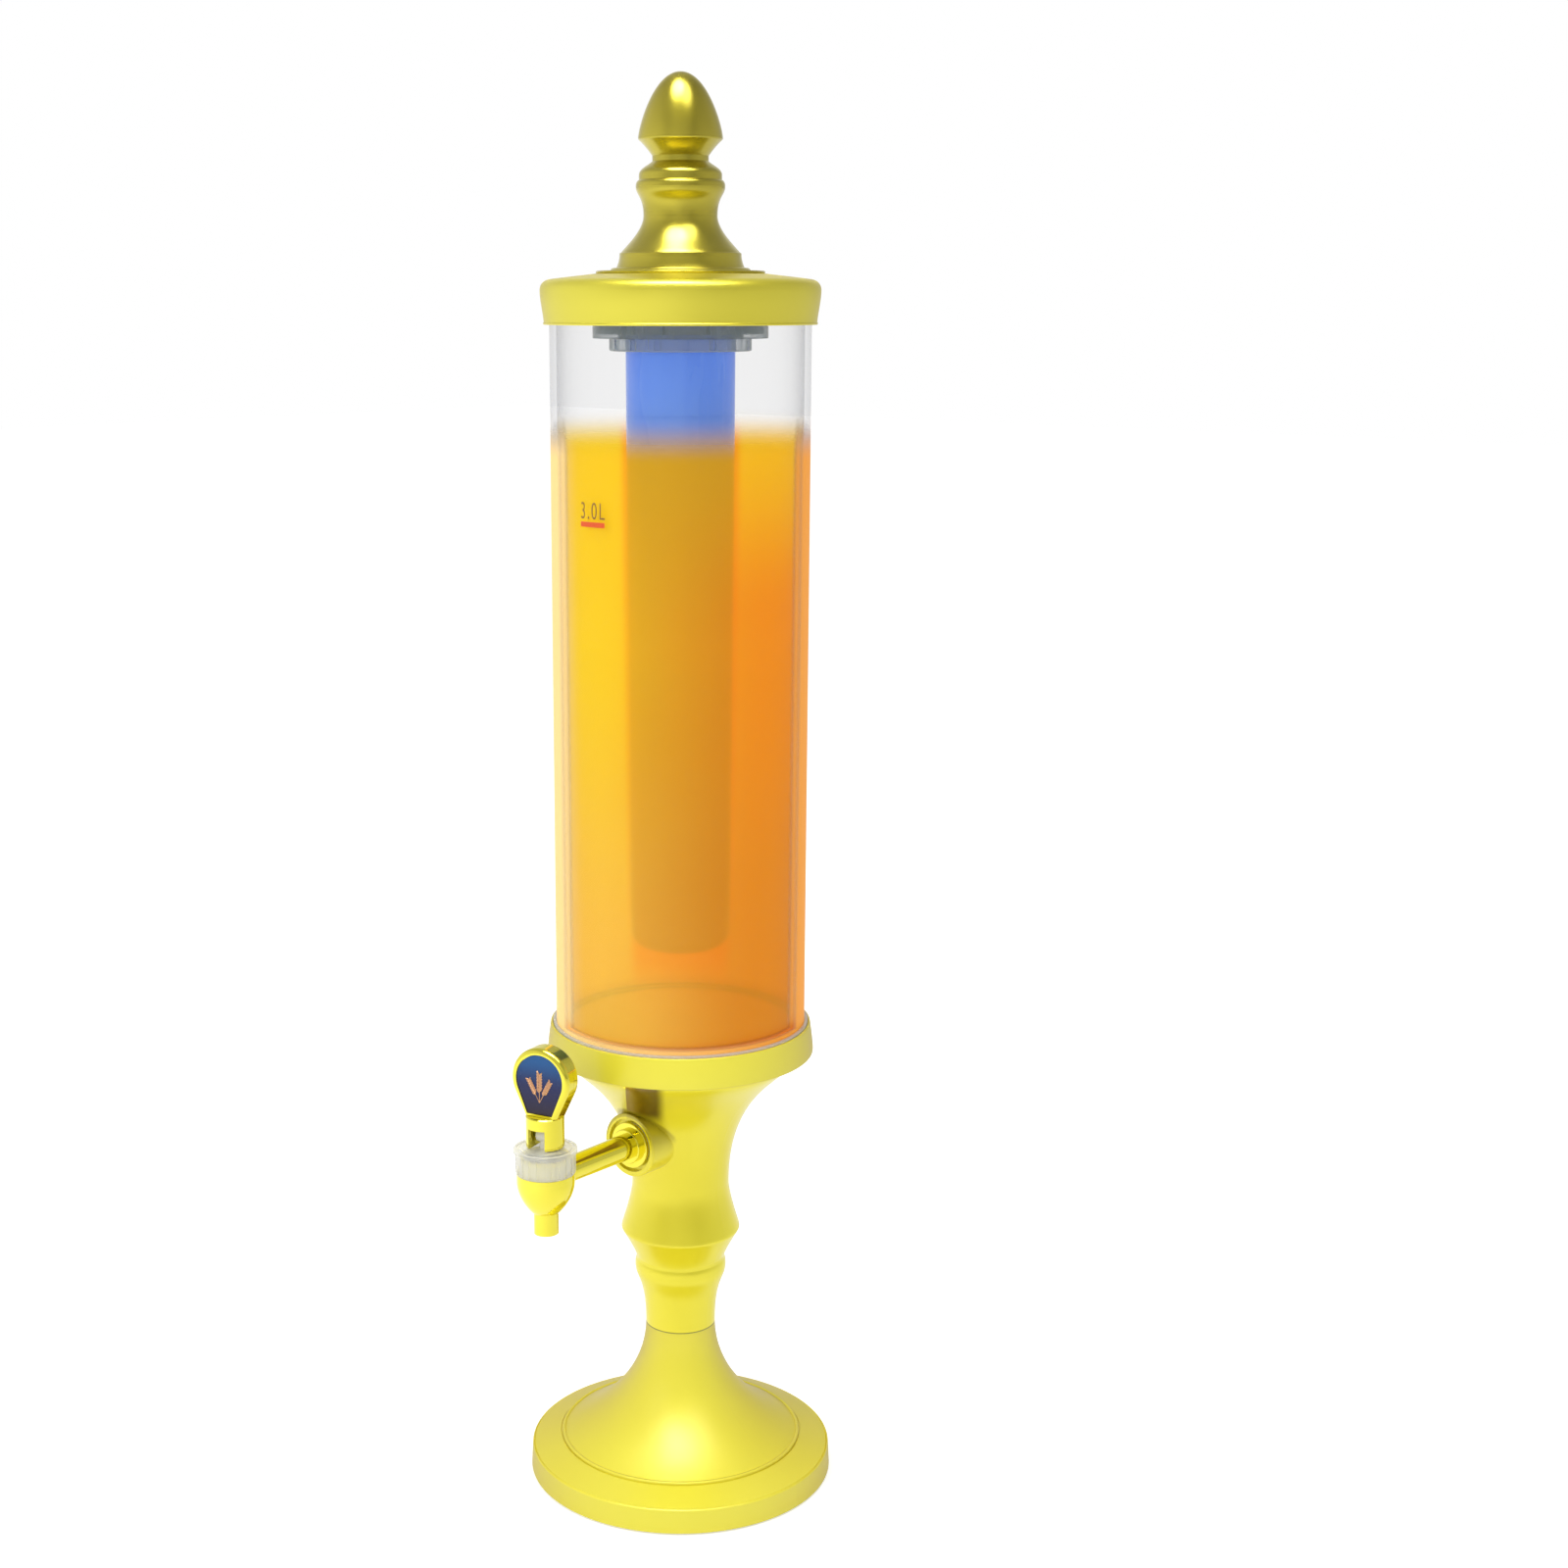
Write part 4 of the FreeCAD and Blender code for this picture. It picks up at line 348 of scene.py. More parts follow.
def gold_material(name, deep, bright, roughness, lacquer, metallic, rim, ripple, shine=0.15,
                  rim_power=6.0, seams=(), moulded=False):
    """Plated plastic under a lacquer, whose roughness sets how soft the white highlights are. A high
    rim_power keeps the rim's painted colour near the edge, and a seam is the height of a dark line. A
    moulded column has a mould line down both sides, and painted shade round its boss."""
    material, tree, shader, where = new_material(name)
    marks = place(tree, "ShaderNodeGroup", {
        "Position": where, "Deep": deep, "Bright": bright, "Low Roughness": roughness * 0.95,
        "High Roughness": roughness * 1.05}, node_tree=skin).outputs
    facing = glancing(tree)
    # The rim colour is painted light and shade: a pale one paints a sheen, a deep one paints shade.
    colour = blended(tree, maths(tree, "POWER", facing, rim_power), marks["Color"], rim)
    for seam in seams:
        dark = line_at(tree, along(tree, where, UP), seam, SEAM_HALF_WIDTH)
        colour = blended(tree, product(tree, dark, SEAM_SHARE), colour, SEAM_SHADE)
    height = marks["Height"]
    if moulded:
        # A moulded column also gets the painted shade round its boss.
        colour = painted_flank_shade(tree, where, painted_hollow_shade(tree, where, colour))
        ridge = line_at(tree, along(tree, where, Vector((0, 1, 0))), 0.0, MOULD_HALF_WIDTH)
        height = maths(tree, "ADD", height, product(tree, ridge, MOULD_RIDGE))
    feed(tree, shader, {
        "Base Color": colour, "Roughness": marks["Roughness"], "Metallic": metallic,
        "Specular IOR Level": shine, "Coat Roughness": lacquer, "Coat IOR": LACQUER_IOR,
        "Coat Weight": remap(tree, facing, 0.20, 0.80, 1.0, 0.12, smooth=True)})
    bumped(tree, shader, height, ripple)
    return material


print("gold recipe ready")

# %% [markdown]
# ## Five golds
# The foot and the pedestal look sprayed rather than plated: soft and butter yellow, with painted shade that
# deepens towards their rims. The column has a satin plating with a pale painted sheen at its rims, and the
# lid's is a little warmer, with painted shade at its rims. The finial is polished, and its colour is painted
# darker: painted shade for the dark room that its mirror would show. It and the tap, which is nearly a
# mirror, get the pale painted sheen at their rims. One recipe with five sets of numbers makes them a family,
# which five separate trees would soon drift away from.

# %% Gold materials
# Painted rim colours: a pale sheen, a deep shade, and the lid's warmer shade.
PAINTED_SHEEN_GOLD, PAINTED_WARM_SHADE_GOLD, PAINTED_SHADE_GOLD = srgb(246, 237, 172), srgb(224, 206, 62), srgb(188, 166, 18)
column_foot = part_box("tower_body")[0].z

satin_gold = gold_material(
    "satin_gold", deep=srgb(244, 231, 44), bright=srgb(249, 239, 58), roughness=0.42, lacquer=0.34,
    metallic=0.0, rim=PAINTED_SHADE_GOLD, ripple=0.006 * MM, shine=0.4, rim_power=1.3, seams=[column_foot])
body_gold = gold_material(
    "body_gold", deep=srgb(240, 226, 38), bright=srgb(246, 235, 52), roughness=0.30, lacquer=0.26,
    metallic=0.42, rim=PAINTED_SHEEN_GOLD, ripple=0.006 * MM, seams=[column_foot], moulded=True)
lid_gold = gold_material(
    "lid_gold", deep=srgb(222, 209, 48), bright=srgb(231, 220, 62), roughness=0.36, lacquer=0.24,
    metallic=0.8, rim=PAINTED_WARM_SHADE_GOLD, ripple=0.005 * MM)
# The finial's colours are painted darker: painted shade for the dark room that its mirror would show.
finial_shaded_gold = gold_material(
    "finial_shaded_gold", deep=srgb(178, 163, 24), bright=srgb(192, 178, 36), roughness=0.23, lacquer=0.20,
    metallic=0.95, rim=PAINTED_SHEEN_GOLD, ripple=0.004 * MM)
tap_gold = gold_material(
    "tap_gold", deep=srgb(234, 221, 50), bright=srgb(243, 232, 66), roughness=0.06, lacquer=0.05,
    metallic=1.0, rim=PAINTED_SHEEN_GOLD, ripple=0.002 * MM)
print("gold materials:", [m.name for m in bpy.data.materials if "gold" in m.name])

# %% [markdown]
# ## Marks in clear mouldings
# Extruded acrylic has faint lines along its length, and moulded parts have a slight haze. Both are one
# noise, drawn out along the tube or left round, so one group makes them. It gives a streak for the cover,
# a haze for the roughness and a height for a bump.

# %% Clear moulding group
clear_marks, marks_in, marks_out = shader_group(
    "clear_marks", {"Position": "Vector", "Stretch": "Vector", "Scale": "Float", "Haze": "Float"},
    {"Roughness": "Float", "Height": "Float", "Streak": "Float"})
given = marks_in.outputs
drawn = place(clear_marks, "ShaderNodeVectorMath", {0: given["Position"], 1: given["Stretch"]},
              operation="MULTIPLY").outputs[0]
streak = noise(clear_marks, drawn, given["Scale"], 3.0)
feed(clear_marks, marks_out, {
    "Height": streak, "Streak": remap(clear_marks, streak, 0.35, 0.65),
    "Roughness": product(clear_marks, streak, given["Haze"])})


def marked(tree, where, stretch, scale, haze):
    """The group's outputs, with one material's values."""
    return place(tree, "ShaderNodeGroup", {
        "Position": where, "Stretch": stretch, "Scale": scale, "Haze": haze},
        node_tree=clear_marks).outputs


print("group:", clear_marks.name)

# %% [markdown]
# ## Clear walls
# The tube, its end cup, the ice tube's fittings and the bonnet are clear plastic. A refracting glass shader
# is true to life, but it bends what lies behind and keeps the lamps out. So a clear wall is made by alpha:
# thin where it is seen square on, denser and in another tint towards its rim. A thick wall also bends what
# it holds into its own rim and foot, so a full tube shows the drink's colour right to its edge. `filled`
# adds that, with a faint glow, because light comes through the drink there.

# %% Clear wall recipe
RIM_GLOW = 0.24
RIM_SHINE = 0.3
RIM_COVER = 0.93
RIM_MATT = 0.6


def rim_of_drink(tree, where, facing, filled):
    """The colour that a full tube's rim holds, the mask of the filled height and the rim's own mask."""
    height = along(tree, where, UP)
    # The held colour is painted paler on the left, towards the lamps, and deeper orange on the right: painted
    # light and shade, as in the drink.
    held = blended(tree, remap(tree, along(tree, where, RIGHT), -50 * MM, 50 * MM),
                   filled["left"], filled["right"])
    below = remap(tree, height, filled["level"] + 4 * MM, filled["level"] - 22 * MM, smooth=True)
    beside = product(tree, below, remap(tree, facing, 0.56, 0.70, smooth=True))
    at_foot = remap(tree, height, filled["foot"] + 4 * MM, filled["foot"] + 1 * MM, smooth=True)
    return held, below, maths(tree, "MAXIMUM", beside, at_foot)


def clear_material(name, tint, rim_tint, thin, rim, power, haze=0.12, filled=None):
    """A clear wall. thin is its cover seen square on, and rim its cover at a glancing angle."""
    material, tree, shader, where = new_material(name)
    marks = marked(tree, where, (1.0, 1.0, 0.02), 240.0, haze)
    facing = glancing(tree)
    edge, roughness, rim_colour = maths(tree, "POWER", facing, power), marks["Roughness"], rim_tint
    if filled:
        held, below, beside = rim_of_drink(tree, where, facing, filled)
        rim_colour = blended(tree, below, rim_tint, held)
        edge = maths(tree, "MAXIMUM", edge, beside)
    cover = remap(tree, edge, 0.0, 1.0, thin, rim)
    if filled:
        cover = maths(tree, "MAXIMUM", cover, product(tree, beside, RIM_COVER))
        roughness = maths(tree, "MAXIMUM", roughness, product(tree, beside, RIM_MATT))
        feed(tree, shader, {"Emission Color": blended(tree, beside, BLACK, held),
                            "Emission Strength": RIM_GLOW, "Specular IOR Level": RIM_SHINE})
    streaked = maths(tree, "ADD", cover, product(tree, marks["Streak"], thin * 0.1))
    feed(tree, shader, {"Base Color": blended(tree, edge, tint, rim_colour), "Alpha": streaked,
                        "Roughness": roughness})
    return material


print("clear wall recipe ready")

# %% [markdown]
# ## Four clear plastics
# The tube is nearly invisible, with a pale line at its rims. The end cup is thicker and looks milky grey.
# The fittings under the lid are greyer still, and the bonnet is a warm white between its ribs. The numbers
# below are cover and tint. The tube also gets the drink's level and where its foot stands in the cup.

# %% Clear materials
DRINK_LEVEL = 545.0 * MM
CUP_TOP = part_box("end_cup")[1].z

tube_clear = clear_material(
    "tube_clear", srgb(72, 74, 86), srgb(216, 218, 223), thin=0.035, rim=0.50, power=4.0,
    filled={"left": srgb(250, 214, 138), "right": srgb(240, 158, 50), "level": DRINK_LEVEL,
            "foot": CUP_TOP})
cup_clear = clear_material(
    "cup_clear", srgb(238, 240, 236), srgb(176, 182, 180), thin=0.42, rim=0.88, power=1.6, haze=0.2)
bayonet_grey = clear_material(
    "bayonet_grey", srgb(192, 208, 216), srgb(134, 148, 142), thin=0.32, rim=0.95, power=1.8, haze=0.3)
bonnet_clear = clear_material(
    "bonnet_clear", srgb(255, 254, 244), srgb(226, 226, 212), thin=0.34, rim=0.80, power=2.2, haze=0.25)
print("clear materials:", [m.name for m in (tube_clear, cup_clear, bayonet_grey, bonnet_clear)])

# %% [markdown]
# ## The ice tube's blue
# The ice tube is blue plastic that light soaks into, so it seems to glow softly. Subsurface scattering does
# that well, but it is slow behind a clear tube. A little emission in the same blue, a painted glow, looks
# alike.
# The wall is painted paler where it is seen edge on, a painted sheen, and a drawn-out noise makes it slightly
# uneven, as a moulded tube is.

# %% Ice tube material
def ice_material():
    """Blue translucent plastic with a slightly uneven wall."""
    material, tree, shader, where = new_material("ice_blue")
    marks = marked(tree, where, (1.0, 1.0, 0.15), 40.0, 0.5)
    blue = blended(tree, marks["Streak"], srgb(86, 136, 252), srgb(102, 150, 255))
    # Paler towards a glancing angle: a painted sheen.
    colour = blended(tree, maths(tree, "POWER", glancing(tree, 0.35), 2.0), blue, srgb(132, 160, 246))
    feed(tree, shader, {"Base Color": colour, "Emission Color": colour, "Emission Strength": 0.24,
                        "Roughness": marks["Roughness"]})
    bumped(tree, shader, marks["Height"], 0.03 * MM)
    return material


ice_blue = ice_material()
print("ice tube material:", ice_blue.name)

# %% [markdown]
# ## A grain for the small parts
# Rubber, cast iron, turned steel and printing ink differ in the size and depth of their grain more than in
# its kind. One noise sets colour, roughness and height together, because in a real grain the pits are
# darker and duller than the peaks. It is a group, so that every small part can place it at its own scale.

# %% Grain group
grain, grain_in, grain_out = shader_group(
    "grain",
    {"Position": "Vector", "Stretch": "Vector", "Scale": "Float", "First": "Color", "Second": "Color",
     "Low Roughness": "Float", "High Roughness": "Float"},
    {"Color": "Color", "Roughness": "Float", "Height": "Float"})
given = grain_in.outputs
stretched = place(grain, "ShaderNodeVectorMath", {0: given["Position"], 1: given["Stretch"]},
                  operation="MULTIPLY").outputs[0]
speck = noise(grain, stretched, given["Scale"], 6.0)
feed(grain, grain_out, {
    "Color": blended(grain, remap(grain, speck, 0.3, 0.7), given["First"], given["Second"]),
    "Roughness": remap(grain, speck, 0.3, 0.7, given["Low Roughness"], given["High Roughness"]),
    "Height": speck})


def grained(name, first, second, scale, roughness, depth, metallic=0.0, stretch=(1.0, 1.0, 1.0)):
    """A material with this grain: scale in features per metre, depth in metres."""
    material, tree, shader, where = new_material(name)
    marks = place(tree, "ShaderNodeGroup", {
        "Position": where, "Stretch": stretch, "Scale": scale, "First": first, "Second": second,
        "Low Roughness": roughness * 0.8, "High Roughness": roughness * 1.2}, node_tree=grain).outputs
    feed(tree, shader, {"Base Color": marks["Color"], "Roughness": marks["Roughness"],
                        "Metallic": metallic})
    bumped(tree, shader, marks["Height"], depth)
    return material


print("group:", grain.name)

# %% [markdown]
# ## Soft and hard small parts
# Seals, the pad, screws and the ballast are out of sight until the tower is taken apart, and still look
# right when it is: a fine grain for moulded rubber, a coarse one for sand-cast iron. On turned steel and
# brass the grain is squeezed along the axis, which draws it out into rings.

# %% Small part materials
TURNED = (1.0, 1.0, 9.0)
silicone = grained("silicone", srgb(205, 208, 206), srgb(222, 224, 220), 900.0, 0.5, 0.02 * MM)
acetal = grained("acetal", srgb(236, 236, 230), srgb(246, 246, 242), 700.0, 0.35, 0.01 * MM)
steel = grained(
    "steel", srgb(168, 170, 172), srgb(196, 197, 198), 260.0, 0.28, 0.01 * MM, 1.0, TURNED)
brass = grained(
    "brass", srgb(186, 150, 72), srgb(206, 172, 92), 260.0, 0.3, 0.01 * MM, 1.0, TURNED)
cast_iron = grained("cast_iron", srgb(58, 56, 54), srgb(92, 88, 84), 420.0, 0.75, 0.12 * MM)
cover_grey = grained("cover_grey", srgb(196, 190, 150), srgb(208, 202, 164), 1200.0, 0.55, 0.03 * MM)
pad_rubber = grained("pad_rubber", srgb(34, 34, 36), srgb(52, 52, 54), 1500.0, 0.7, 0.04 * MM)
print("small part materials:", [m.name for m in (silicone, acetal, steel, brass, cast_iron)])

# %% [markdown]
# ## The badge
# A lacquered plate fills the front of the paddle. Its blue darkens to plum towards the foot, with the fine
# flecks of a metallic ink. A Color Ramp could make the gradient, but two blends show plainly where each
# colour starts. The gradient runs up the tower, so it reads the height of each point.

# %% Badge material
BADGE_PLUM, BADGE_NAVY, BADGE_BLUE = srgb(46, 36, 54), srgb(38, 46, 92), srgb(34, 92, 152)
FLECK_SCALE = 2600.0


def badge_material():
    """Printed gradient with metallic flecks, under a clear lacquer."""
    low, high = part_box("badge_front")
    material, tree, shader, where = new_material("badge_print")
    up = remap(tree, along(tree, where, UP), low.z, high.z)
    lower_half = blended(tree, remap(tree, up, 0.0, 0.5), BADGE_PLUM, BADGE_NAVY)
    colour = blended(tree, remap(tree, up, 0.45, 0.95, smooth=True), lower_half, BADGE_BLUE)
    fleck = remap(tree, noise(tree, where, FLECK_SCALE, 2.0), 0.62, 0.8, 0.0, 0.10)
    feed(tree, shader, {
        "Base Color": blended(tree, fleck, colour, srgb(130, 150, 190)),
        "Roughness": remap(tree, noise(tree, where, 120.0), 0.3, 0.7, 0.22, 0.3),
        "Specular IOR Level": 0.25, "Coat Weight": 0.1})
    return material


badge_print = badge_material()

# %% [markdown]
# ## A finish for every CAD piece
# The CAD pieces arrive with plain colours in their material slots. The finishes could be set piece by
# piece. A table of finish and pieces shows at a glance which parts share one, and a forgotten name shows up
# in the count. Only the return spring is left out, because a new mesh takes its place further down.

# %% Give every CAD node its finish
FINISH = {
    satin_gold: ["foot_plate", "pedestal", "seat_ring"],
    body_gold: ["tower_body"],
    lid_gold: ["lid_shell"],
    finial_shaded_gold: ["finial_pedestal", "acorn_knob"],
    tap_gold: ["tap_body", "shank_washer", "lever_body", "paddle_front"],
    tube_clear: ["reservoir_tube"],
    cup_clear: ["end_cup"],
    bayonet_grey: ["ice_holder", "ice_collar"],
    ice_blue: ["ice_tube"],
    bonnet_clear: ["bonnet_nut"],
    acetal: ["valve_stem"],
    silicone: ["tube_gasket", "shank_gasket", "inner_gasket", "stem_seal", "lid_seal", "collar_oring",
               "valve_plug"],
    steel: ["tie_rod", "rod_nut", "rod_washer", "finial_stud", "stud_washer", "stud_nut", "lever_pin",
            "paddle_screws"],
    brass: ["thread_insert", "shank_nut"],
    cast_iron: ["ballast_disc"],
    cover_grey: ["foot_cover"],
    pad_rubber: ["foot_pad"],
    badge_print: ["badge_front", "badge_back"],
}
for material, names in FINISH.items():
    for name in names:
        for slot in nodes[name].material_slots:
            slot.material = material
print("finished nodes:", sum(len(names) for names in FINISH.values()), "of", len(nodes))

# %% [markdown]
# ## The shape of the drink
# The drink fills the tube to just under the ice tube's blue collar. A scaled cylinder would do for its bulk,
# but not for its edges. It is a turned body a hair narrower than the bore, with a rounded foot and a small
# meniscus where it climbs the wall. A ring a few millimetres inside each end keeps the long wall's smooth
# normals level. Without them the wall would shade as if it leant.

# %% Turned mesh helpers
def turned_mesh(name, profile, segments=160):
    """A closed mesh turned about Z, from a profile that runs from the lowest to the highest axis point."""
    mesh = bpy.data.meshes.new(name)
    shape = bmesh.new()
    rings = []
    for radius, height in profile:
        count = 1 if radius == 0 else segments
        rings.append([
            shape.verts.new((radius * math.cos(2 * math.pi * k / segments),
                             radius * math.sin(2 * math.pi * k / segments), height))
            for k in range(count)])
    for lower, upper in zip(rings, rings[1:]):
        for k in range(segments):
            corners = [lower[k % len(lower)], lower[(k + 1) % len(lower)],
                       upper[(k + 1) % len(upper)], upper[k % len(upper)]]
            shape.faces.new(list(dict.fromkeys(corners)))
    shape.to_mesh(mesh)
    shape.free()
    mesh.shade_smooth()
    return mesh


def add_piece(mesh, material, body):
    """Puts a finished mesh in the scene as a piece that rides on a CAD body."""
    piece = bpy.data.objects.new(mesh.name, mesh)
    mesh.materials.clear()
    mesh.materials.append(material)
    bpy.context.scene.collection.objects.link(piece)
    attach(piece, body)
    return piece


print("turning helpers ready")

# %% [markdown]
# ## Its profile
# Each pair is how far a point lies in from the wall, and how far over the drink's floor or its level, in
# millimetres. The foot and the rim are drawn apart, so the level can change and both keep their form.

# %% Drink mesh
DRINK_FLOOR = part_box("reservoir_tube")[0].z + 0.3 * MM
DRINK_RADIUS = 59.15 * MM
FOOT_PROFILE = [(1.5, 0.0), (0.4, 0.4), (0.0, 1.5), (0.0, 4.0)]
RIM_PROFILE = [(0.0, -3.0), (0.0, 1.0), (0.6, 0.4), (2.0, 0.0)]

drink_profile = [(0, DRINK_FLOOR)]
for start, steps in ((DRINK_FLOOR, FOOT_PROFILE), (DRINK_LEVEL, RIM_PROFILE)):
    drink_profile += [(DRINK_RADIUS - inset * MM, start + rise * MM) for inset, rise in steps]
drink_profile.append((0, DRINK_LEVEL))
drink_mesh = turned_mesh("drink", drink_profile)
print("drink faces:", len(drink_mesh.polygons), "litres with the ice tube in it:",
      round(math.pi * DRINK_RADIUS**2 * (DRINK_LEVEL - DRINK_FLOOR) * 1000, 2))

# %% [markdown]
# ## The drink's masks, with its painted light and shade
# A cloudy citrus drink takes light in for some centimetres and gives it back coloured. So it is yellow
# towards the light and orange away from it, pale at the thin rim on the lit side, and more orange where the
# ice tube stands behind it. A volume shader would find all that by itself, but it is slow and noisy, and an
# exported model loses it. Masks on the surface paint it in a few nodes. The side and deep masks are painted
# light on the left, towards the lamps, and painted shade on the right and lower down. The pale mask is a
# painted highlight on the lit rim.

# %% Drink masks
ICE_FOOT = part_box("ice_tube")[0].z
SWIRL = 30 * MM


def drink_masks(tree, where):
    """The drink's masks by name, with the height and the facing that they are made from."""
    height, facing = along(tree, where, UP), glancing(tree)
    swirl = product(tree, maths(tree, "SUBTRACT", noise(tree, where, 9.0, 3.0), 0.5), SWIRL)
    side = remap(tree, maths(tree, "ADD", along(tree, where, RIGHT), swirl), -45 * MM, 40 * MM,
                 smooth=True)
    # side and deep paint the lamps' light and shade across the drink; pale paints a highlight on the lit rim.
    return {
        "height": height, "facing": facing, "side": side,
        "deep": product(tree, side, remap(tree, height, 530 * MM, 450 * MM, 0.25, 1.0, smooth=True)),
        "pale": product(tree, remap(tree, facing, 0.42, 0.80, smooth=True),
                        remap(tree, side, 0.0, 0.5, 0.85, 0.0)),
        "ice": product(tree, remap(tree, facing, 0.095, 0.145, 1.0, 0.0, smooth=True),
                       remap(tree, height, ICE_FOOT - 12 * MM, ICE_FOOT + 12 * MM, smooth=True)),
    }


print("ice tube's foot in mm:", round(ICE_FOOT / MM, 1))

# %% [markdown]
# ## The cloudy body and the see-through tint
# The body colour goes from yellow at the top to amber at the foot, and glows a little, because light comes
# through it. The tint is what the drink does to the things behind it. The two are kept apart, so the ice
# tube can be made dimmer or clearer in the drink without changing the colour of the drink itself.

# %% Drink colours
def drink_body(tree, marks):
    """The cloudy colour, and the colour of its glow, which is weaker lower down."""
    # Yellow on the lit side and orange away from it are painted light and shade.
    top = blended(tree, marks["deep"], srgb(255, 226, 42), srgb(254, 170, 32))
    low = blended(tree, marks["side"], srgb(250, 206, 84), srgb(234, 161, 38))
    down = remap(tree, marks["height"], 440 * MM, 270 * MM, smooth=True)
    colour = blended(tree, down, top, low)
    colour = blended(tree, marks["pale"], colour, srgb(254, 230, 166))
    colour = blended(tree, product(tree, marks["ice"], 0.36), colour, srgb(255, 156, 22))
    dimmer = remap(tree, marks["height"], 520 * MM, 420 * MM, 0.0, 0.24)
    return colour, blended(tree, dimmer, colour, BLACK)


def drink_tint(tree, marks):
    """The colour that the drink gives to what is seen through it."""
    square_on = blended(tree, marks["deep"], srgb(255, 138, 24), srgb(255, 104, 24))
    aslant = blended(tree, marks["deep"], srgb(255, 216, 52), srgb(254, 172, 44))
    return blended(tree, marks["ice"], aslant, square_on)


print("drink colours ready")

# %% [markdown]
# ## Mixing them
# A Mix Shader sets how cloudy the drink is: about half at its top, two thirds lower down. Over its last
# twenty millimetres it fades away, because a full tube shows no hard line there. In a reflection it is left
# out, so the gold band under the tube doesn't turn orange.

# %% Drink material
def drink_material():
    """Cloudy citrus drink that the ice tube shows through as a dim column."""
    material, tree, shader, where = new_material("citrus_drink")
    marks = drink_masks(tree, where)
    height, facing = marks["height"], marks["facing"]
    colour, glow = drink_body(tree, marks)
    feed(tree, shader, {
        "Base Color": colour, "Emission Color": glow, "Emission Strength": 0.34,
        "Specular IOR Level": 0.1,
        "Roughness": remap(tree, noise(tree, where, 30.0), 0.3, 0.7, 0.45, 0.6)})
    body = product(tree, remap(tree, height, 546 * MM, 524 * MM, smooth=True),
                   remap(tree, facing, 0.70, 0.98, 1.0, 0.6, smooth=True))
    mirrored = tree.nodes.new("ShaderNodeLightPath").outputs["Is Glossy Ray"]
    straight = maths(tree, "SUBTRACT", 1.0, mirrored)
    tinted = product(tree, maths(tree, "POWER", body, 1.6), straight)
    clear = place(tree, "ShaderNodeBsdfTransparent", {
        "Color": blended(tree, tinted, WHITE, drink_tint(tree, marks))})
    cloudy = maths(tree, "ADD", remap(tree, height, 530 * MM, 440 * MM, 0.50, 0.66),
                   remap(tree, height, 400 * MM, 290 * MM, 0.0, 0.05))
    mix = place(tree, "ShaderNodeMixShader", {
        0: product(tree, body, cloudy, straight), 1: clear.outputs[0], 2: shader.outputs[0]})
    feed(tree, tree.nodes["Material Output"], {"Surface": mix.outputs[0]})
    return material


drink = add_piece(drink_mesh, drink_material(), "stand")

# %% [markdown]
# ## Print on a round tube
# A bar and a figure printed on the tube show three litres. An image texture would need a file, and a Decal
# plane would float off the curve. Here flat letters are cut into narrow strips so that they can bend, and
# wrapped round the tube with the thickness of ink. They stay sharp from close by.

# %% Wrap a flat mesh round the tube
TUBE_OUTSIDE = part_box("reservoir_tube")[1].x
INK_GAP = 0.04 * MM
INK_THICKNESS = 0.08 * MM
STRIP = 0.6 * MM


def wrapped(flat, name, height):
    """flat, drawn in X and Y, bent round the tube over the tap, with its origin at this height."""
    shape = bmesh.new()
    shape.from_mesh(flat)
    reach = max(abs(v.co.x) for v in shape.verts)
    for k in range(-int(reach / STRIP), int(reach / STRIP) + 1):
        bmesh.ops.bisect_plane(
            shape, geom=shape.verts[:] + shape.edges[:] + shape.faces[:],
            plane_co=(k * STRIP, 0, 0), plane_no=(1, 0, 0), dist=1e-7)
    bmesh.ops.triangulate(shape, faces=shape.faces[:])
    raised = bmesh.ops.extrude_face_region(shape, geom=shape.faces[:])
    top = {v for v in raised["geom"] if isinstance(v, bmesh.types.BMVert)}
    for v in shape.verts:
        radius = TUBE_OUTSIDE + INK_GAP + (INK_THICKNESS if v in top else 0)
        turn = v.co.x / TUBE_OUTSIDE
        v.co = (radius * math.sin(turn), -radius * math.cos(turn), height + v.co.y)
    bmesh.ops.recalc_face_normals(shape, faces=shape.faces[:])
    mesh = bpy.data.meshes.new(name)
    shape.to_mesh(mesh)
    shape.free()
    return mesh


print("wrap helper ready, tube radius in mm:", round(TUBE_OUTSIDE / MM, 2))

# %% [markdown]
# ## The figure
# The figure starts as a text object, squeezed to a printer's narrow letter, with a little more space
# between the letters. A text object isn't a mesh, so its evaluated copy is turned into one and the object
# goes. Drawing the letters by hand would take longer and give the same.

# %% Figure and bar
BAR_HEIGHT = 495.7 * MM
BAR_LENGTH, BAR_WIDTH = 15.0 * MM, 2.4 * MM
FIGURE_RISE = 2.6 * MM
FIGURE_SIZE = 11.2 * MM
FIGURE_SQUEEZE = 0.66

figure_curve = bpy.data.curves.new("figure", "FONT")
figure_curve.body = "3.0L"
figure_curve.size = FIGURE_SIZE
figure_curve.align_x = "CENTER"
figure_curve.space_character = 1.25
figure_curve.offset = -0.05 * MM
figure_object = bpy.data.objects.new("figure", figure_curve)
bpy.context.scene.collection.objects.link(figure_object)
bpy.context.view_layer.update()
figure_flat = bpy.data.meshes.new_from_object(
    figure_object.evaluated_get(bpy.context.evaluated_depsgraph_get()))
bpy.data.objects.remove(figure_object)
figure_flat.transform(Matrix.Diagonal((FIGURE_SQUEEZE, 1, 1, 1)))

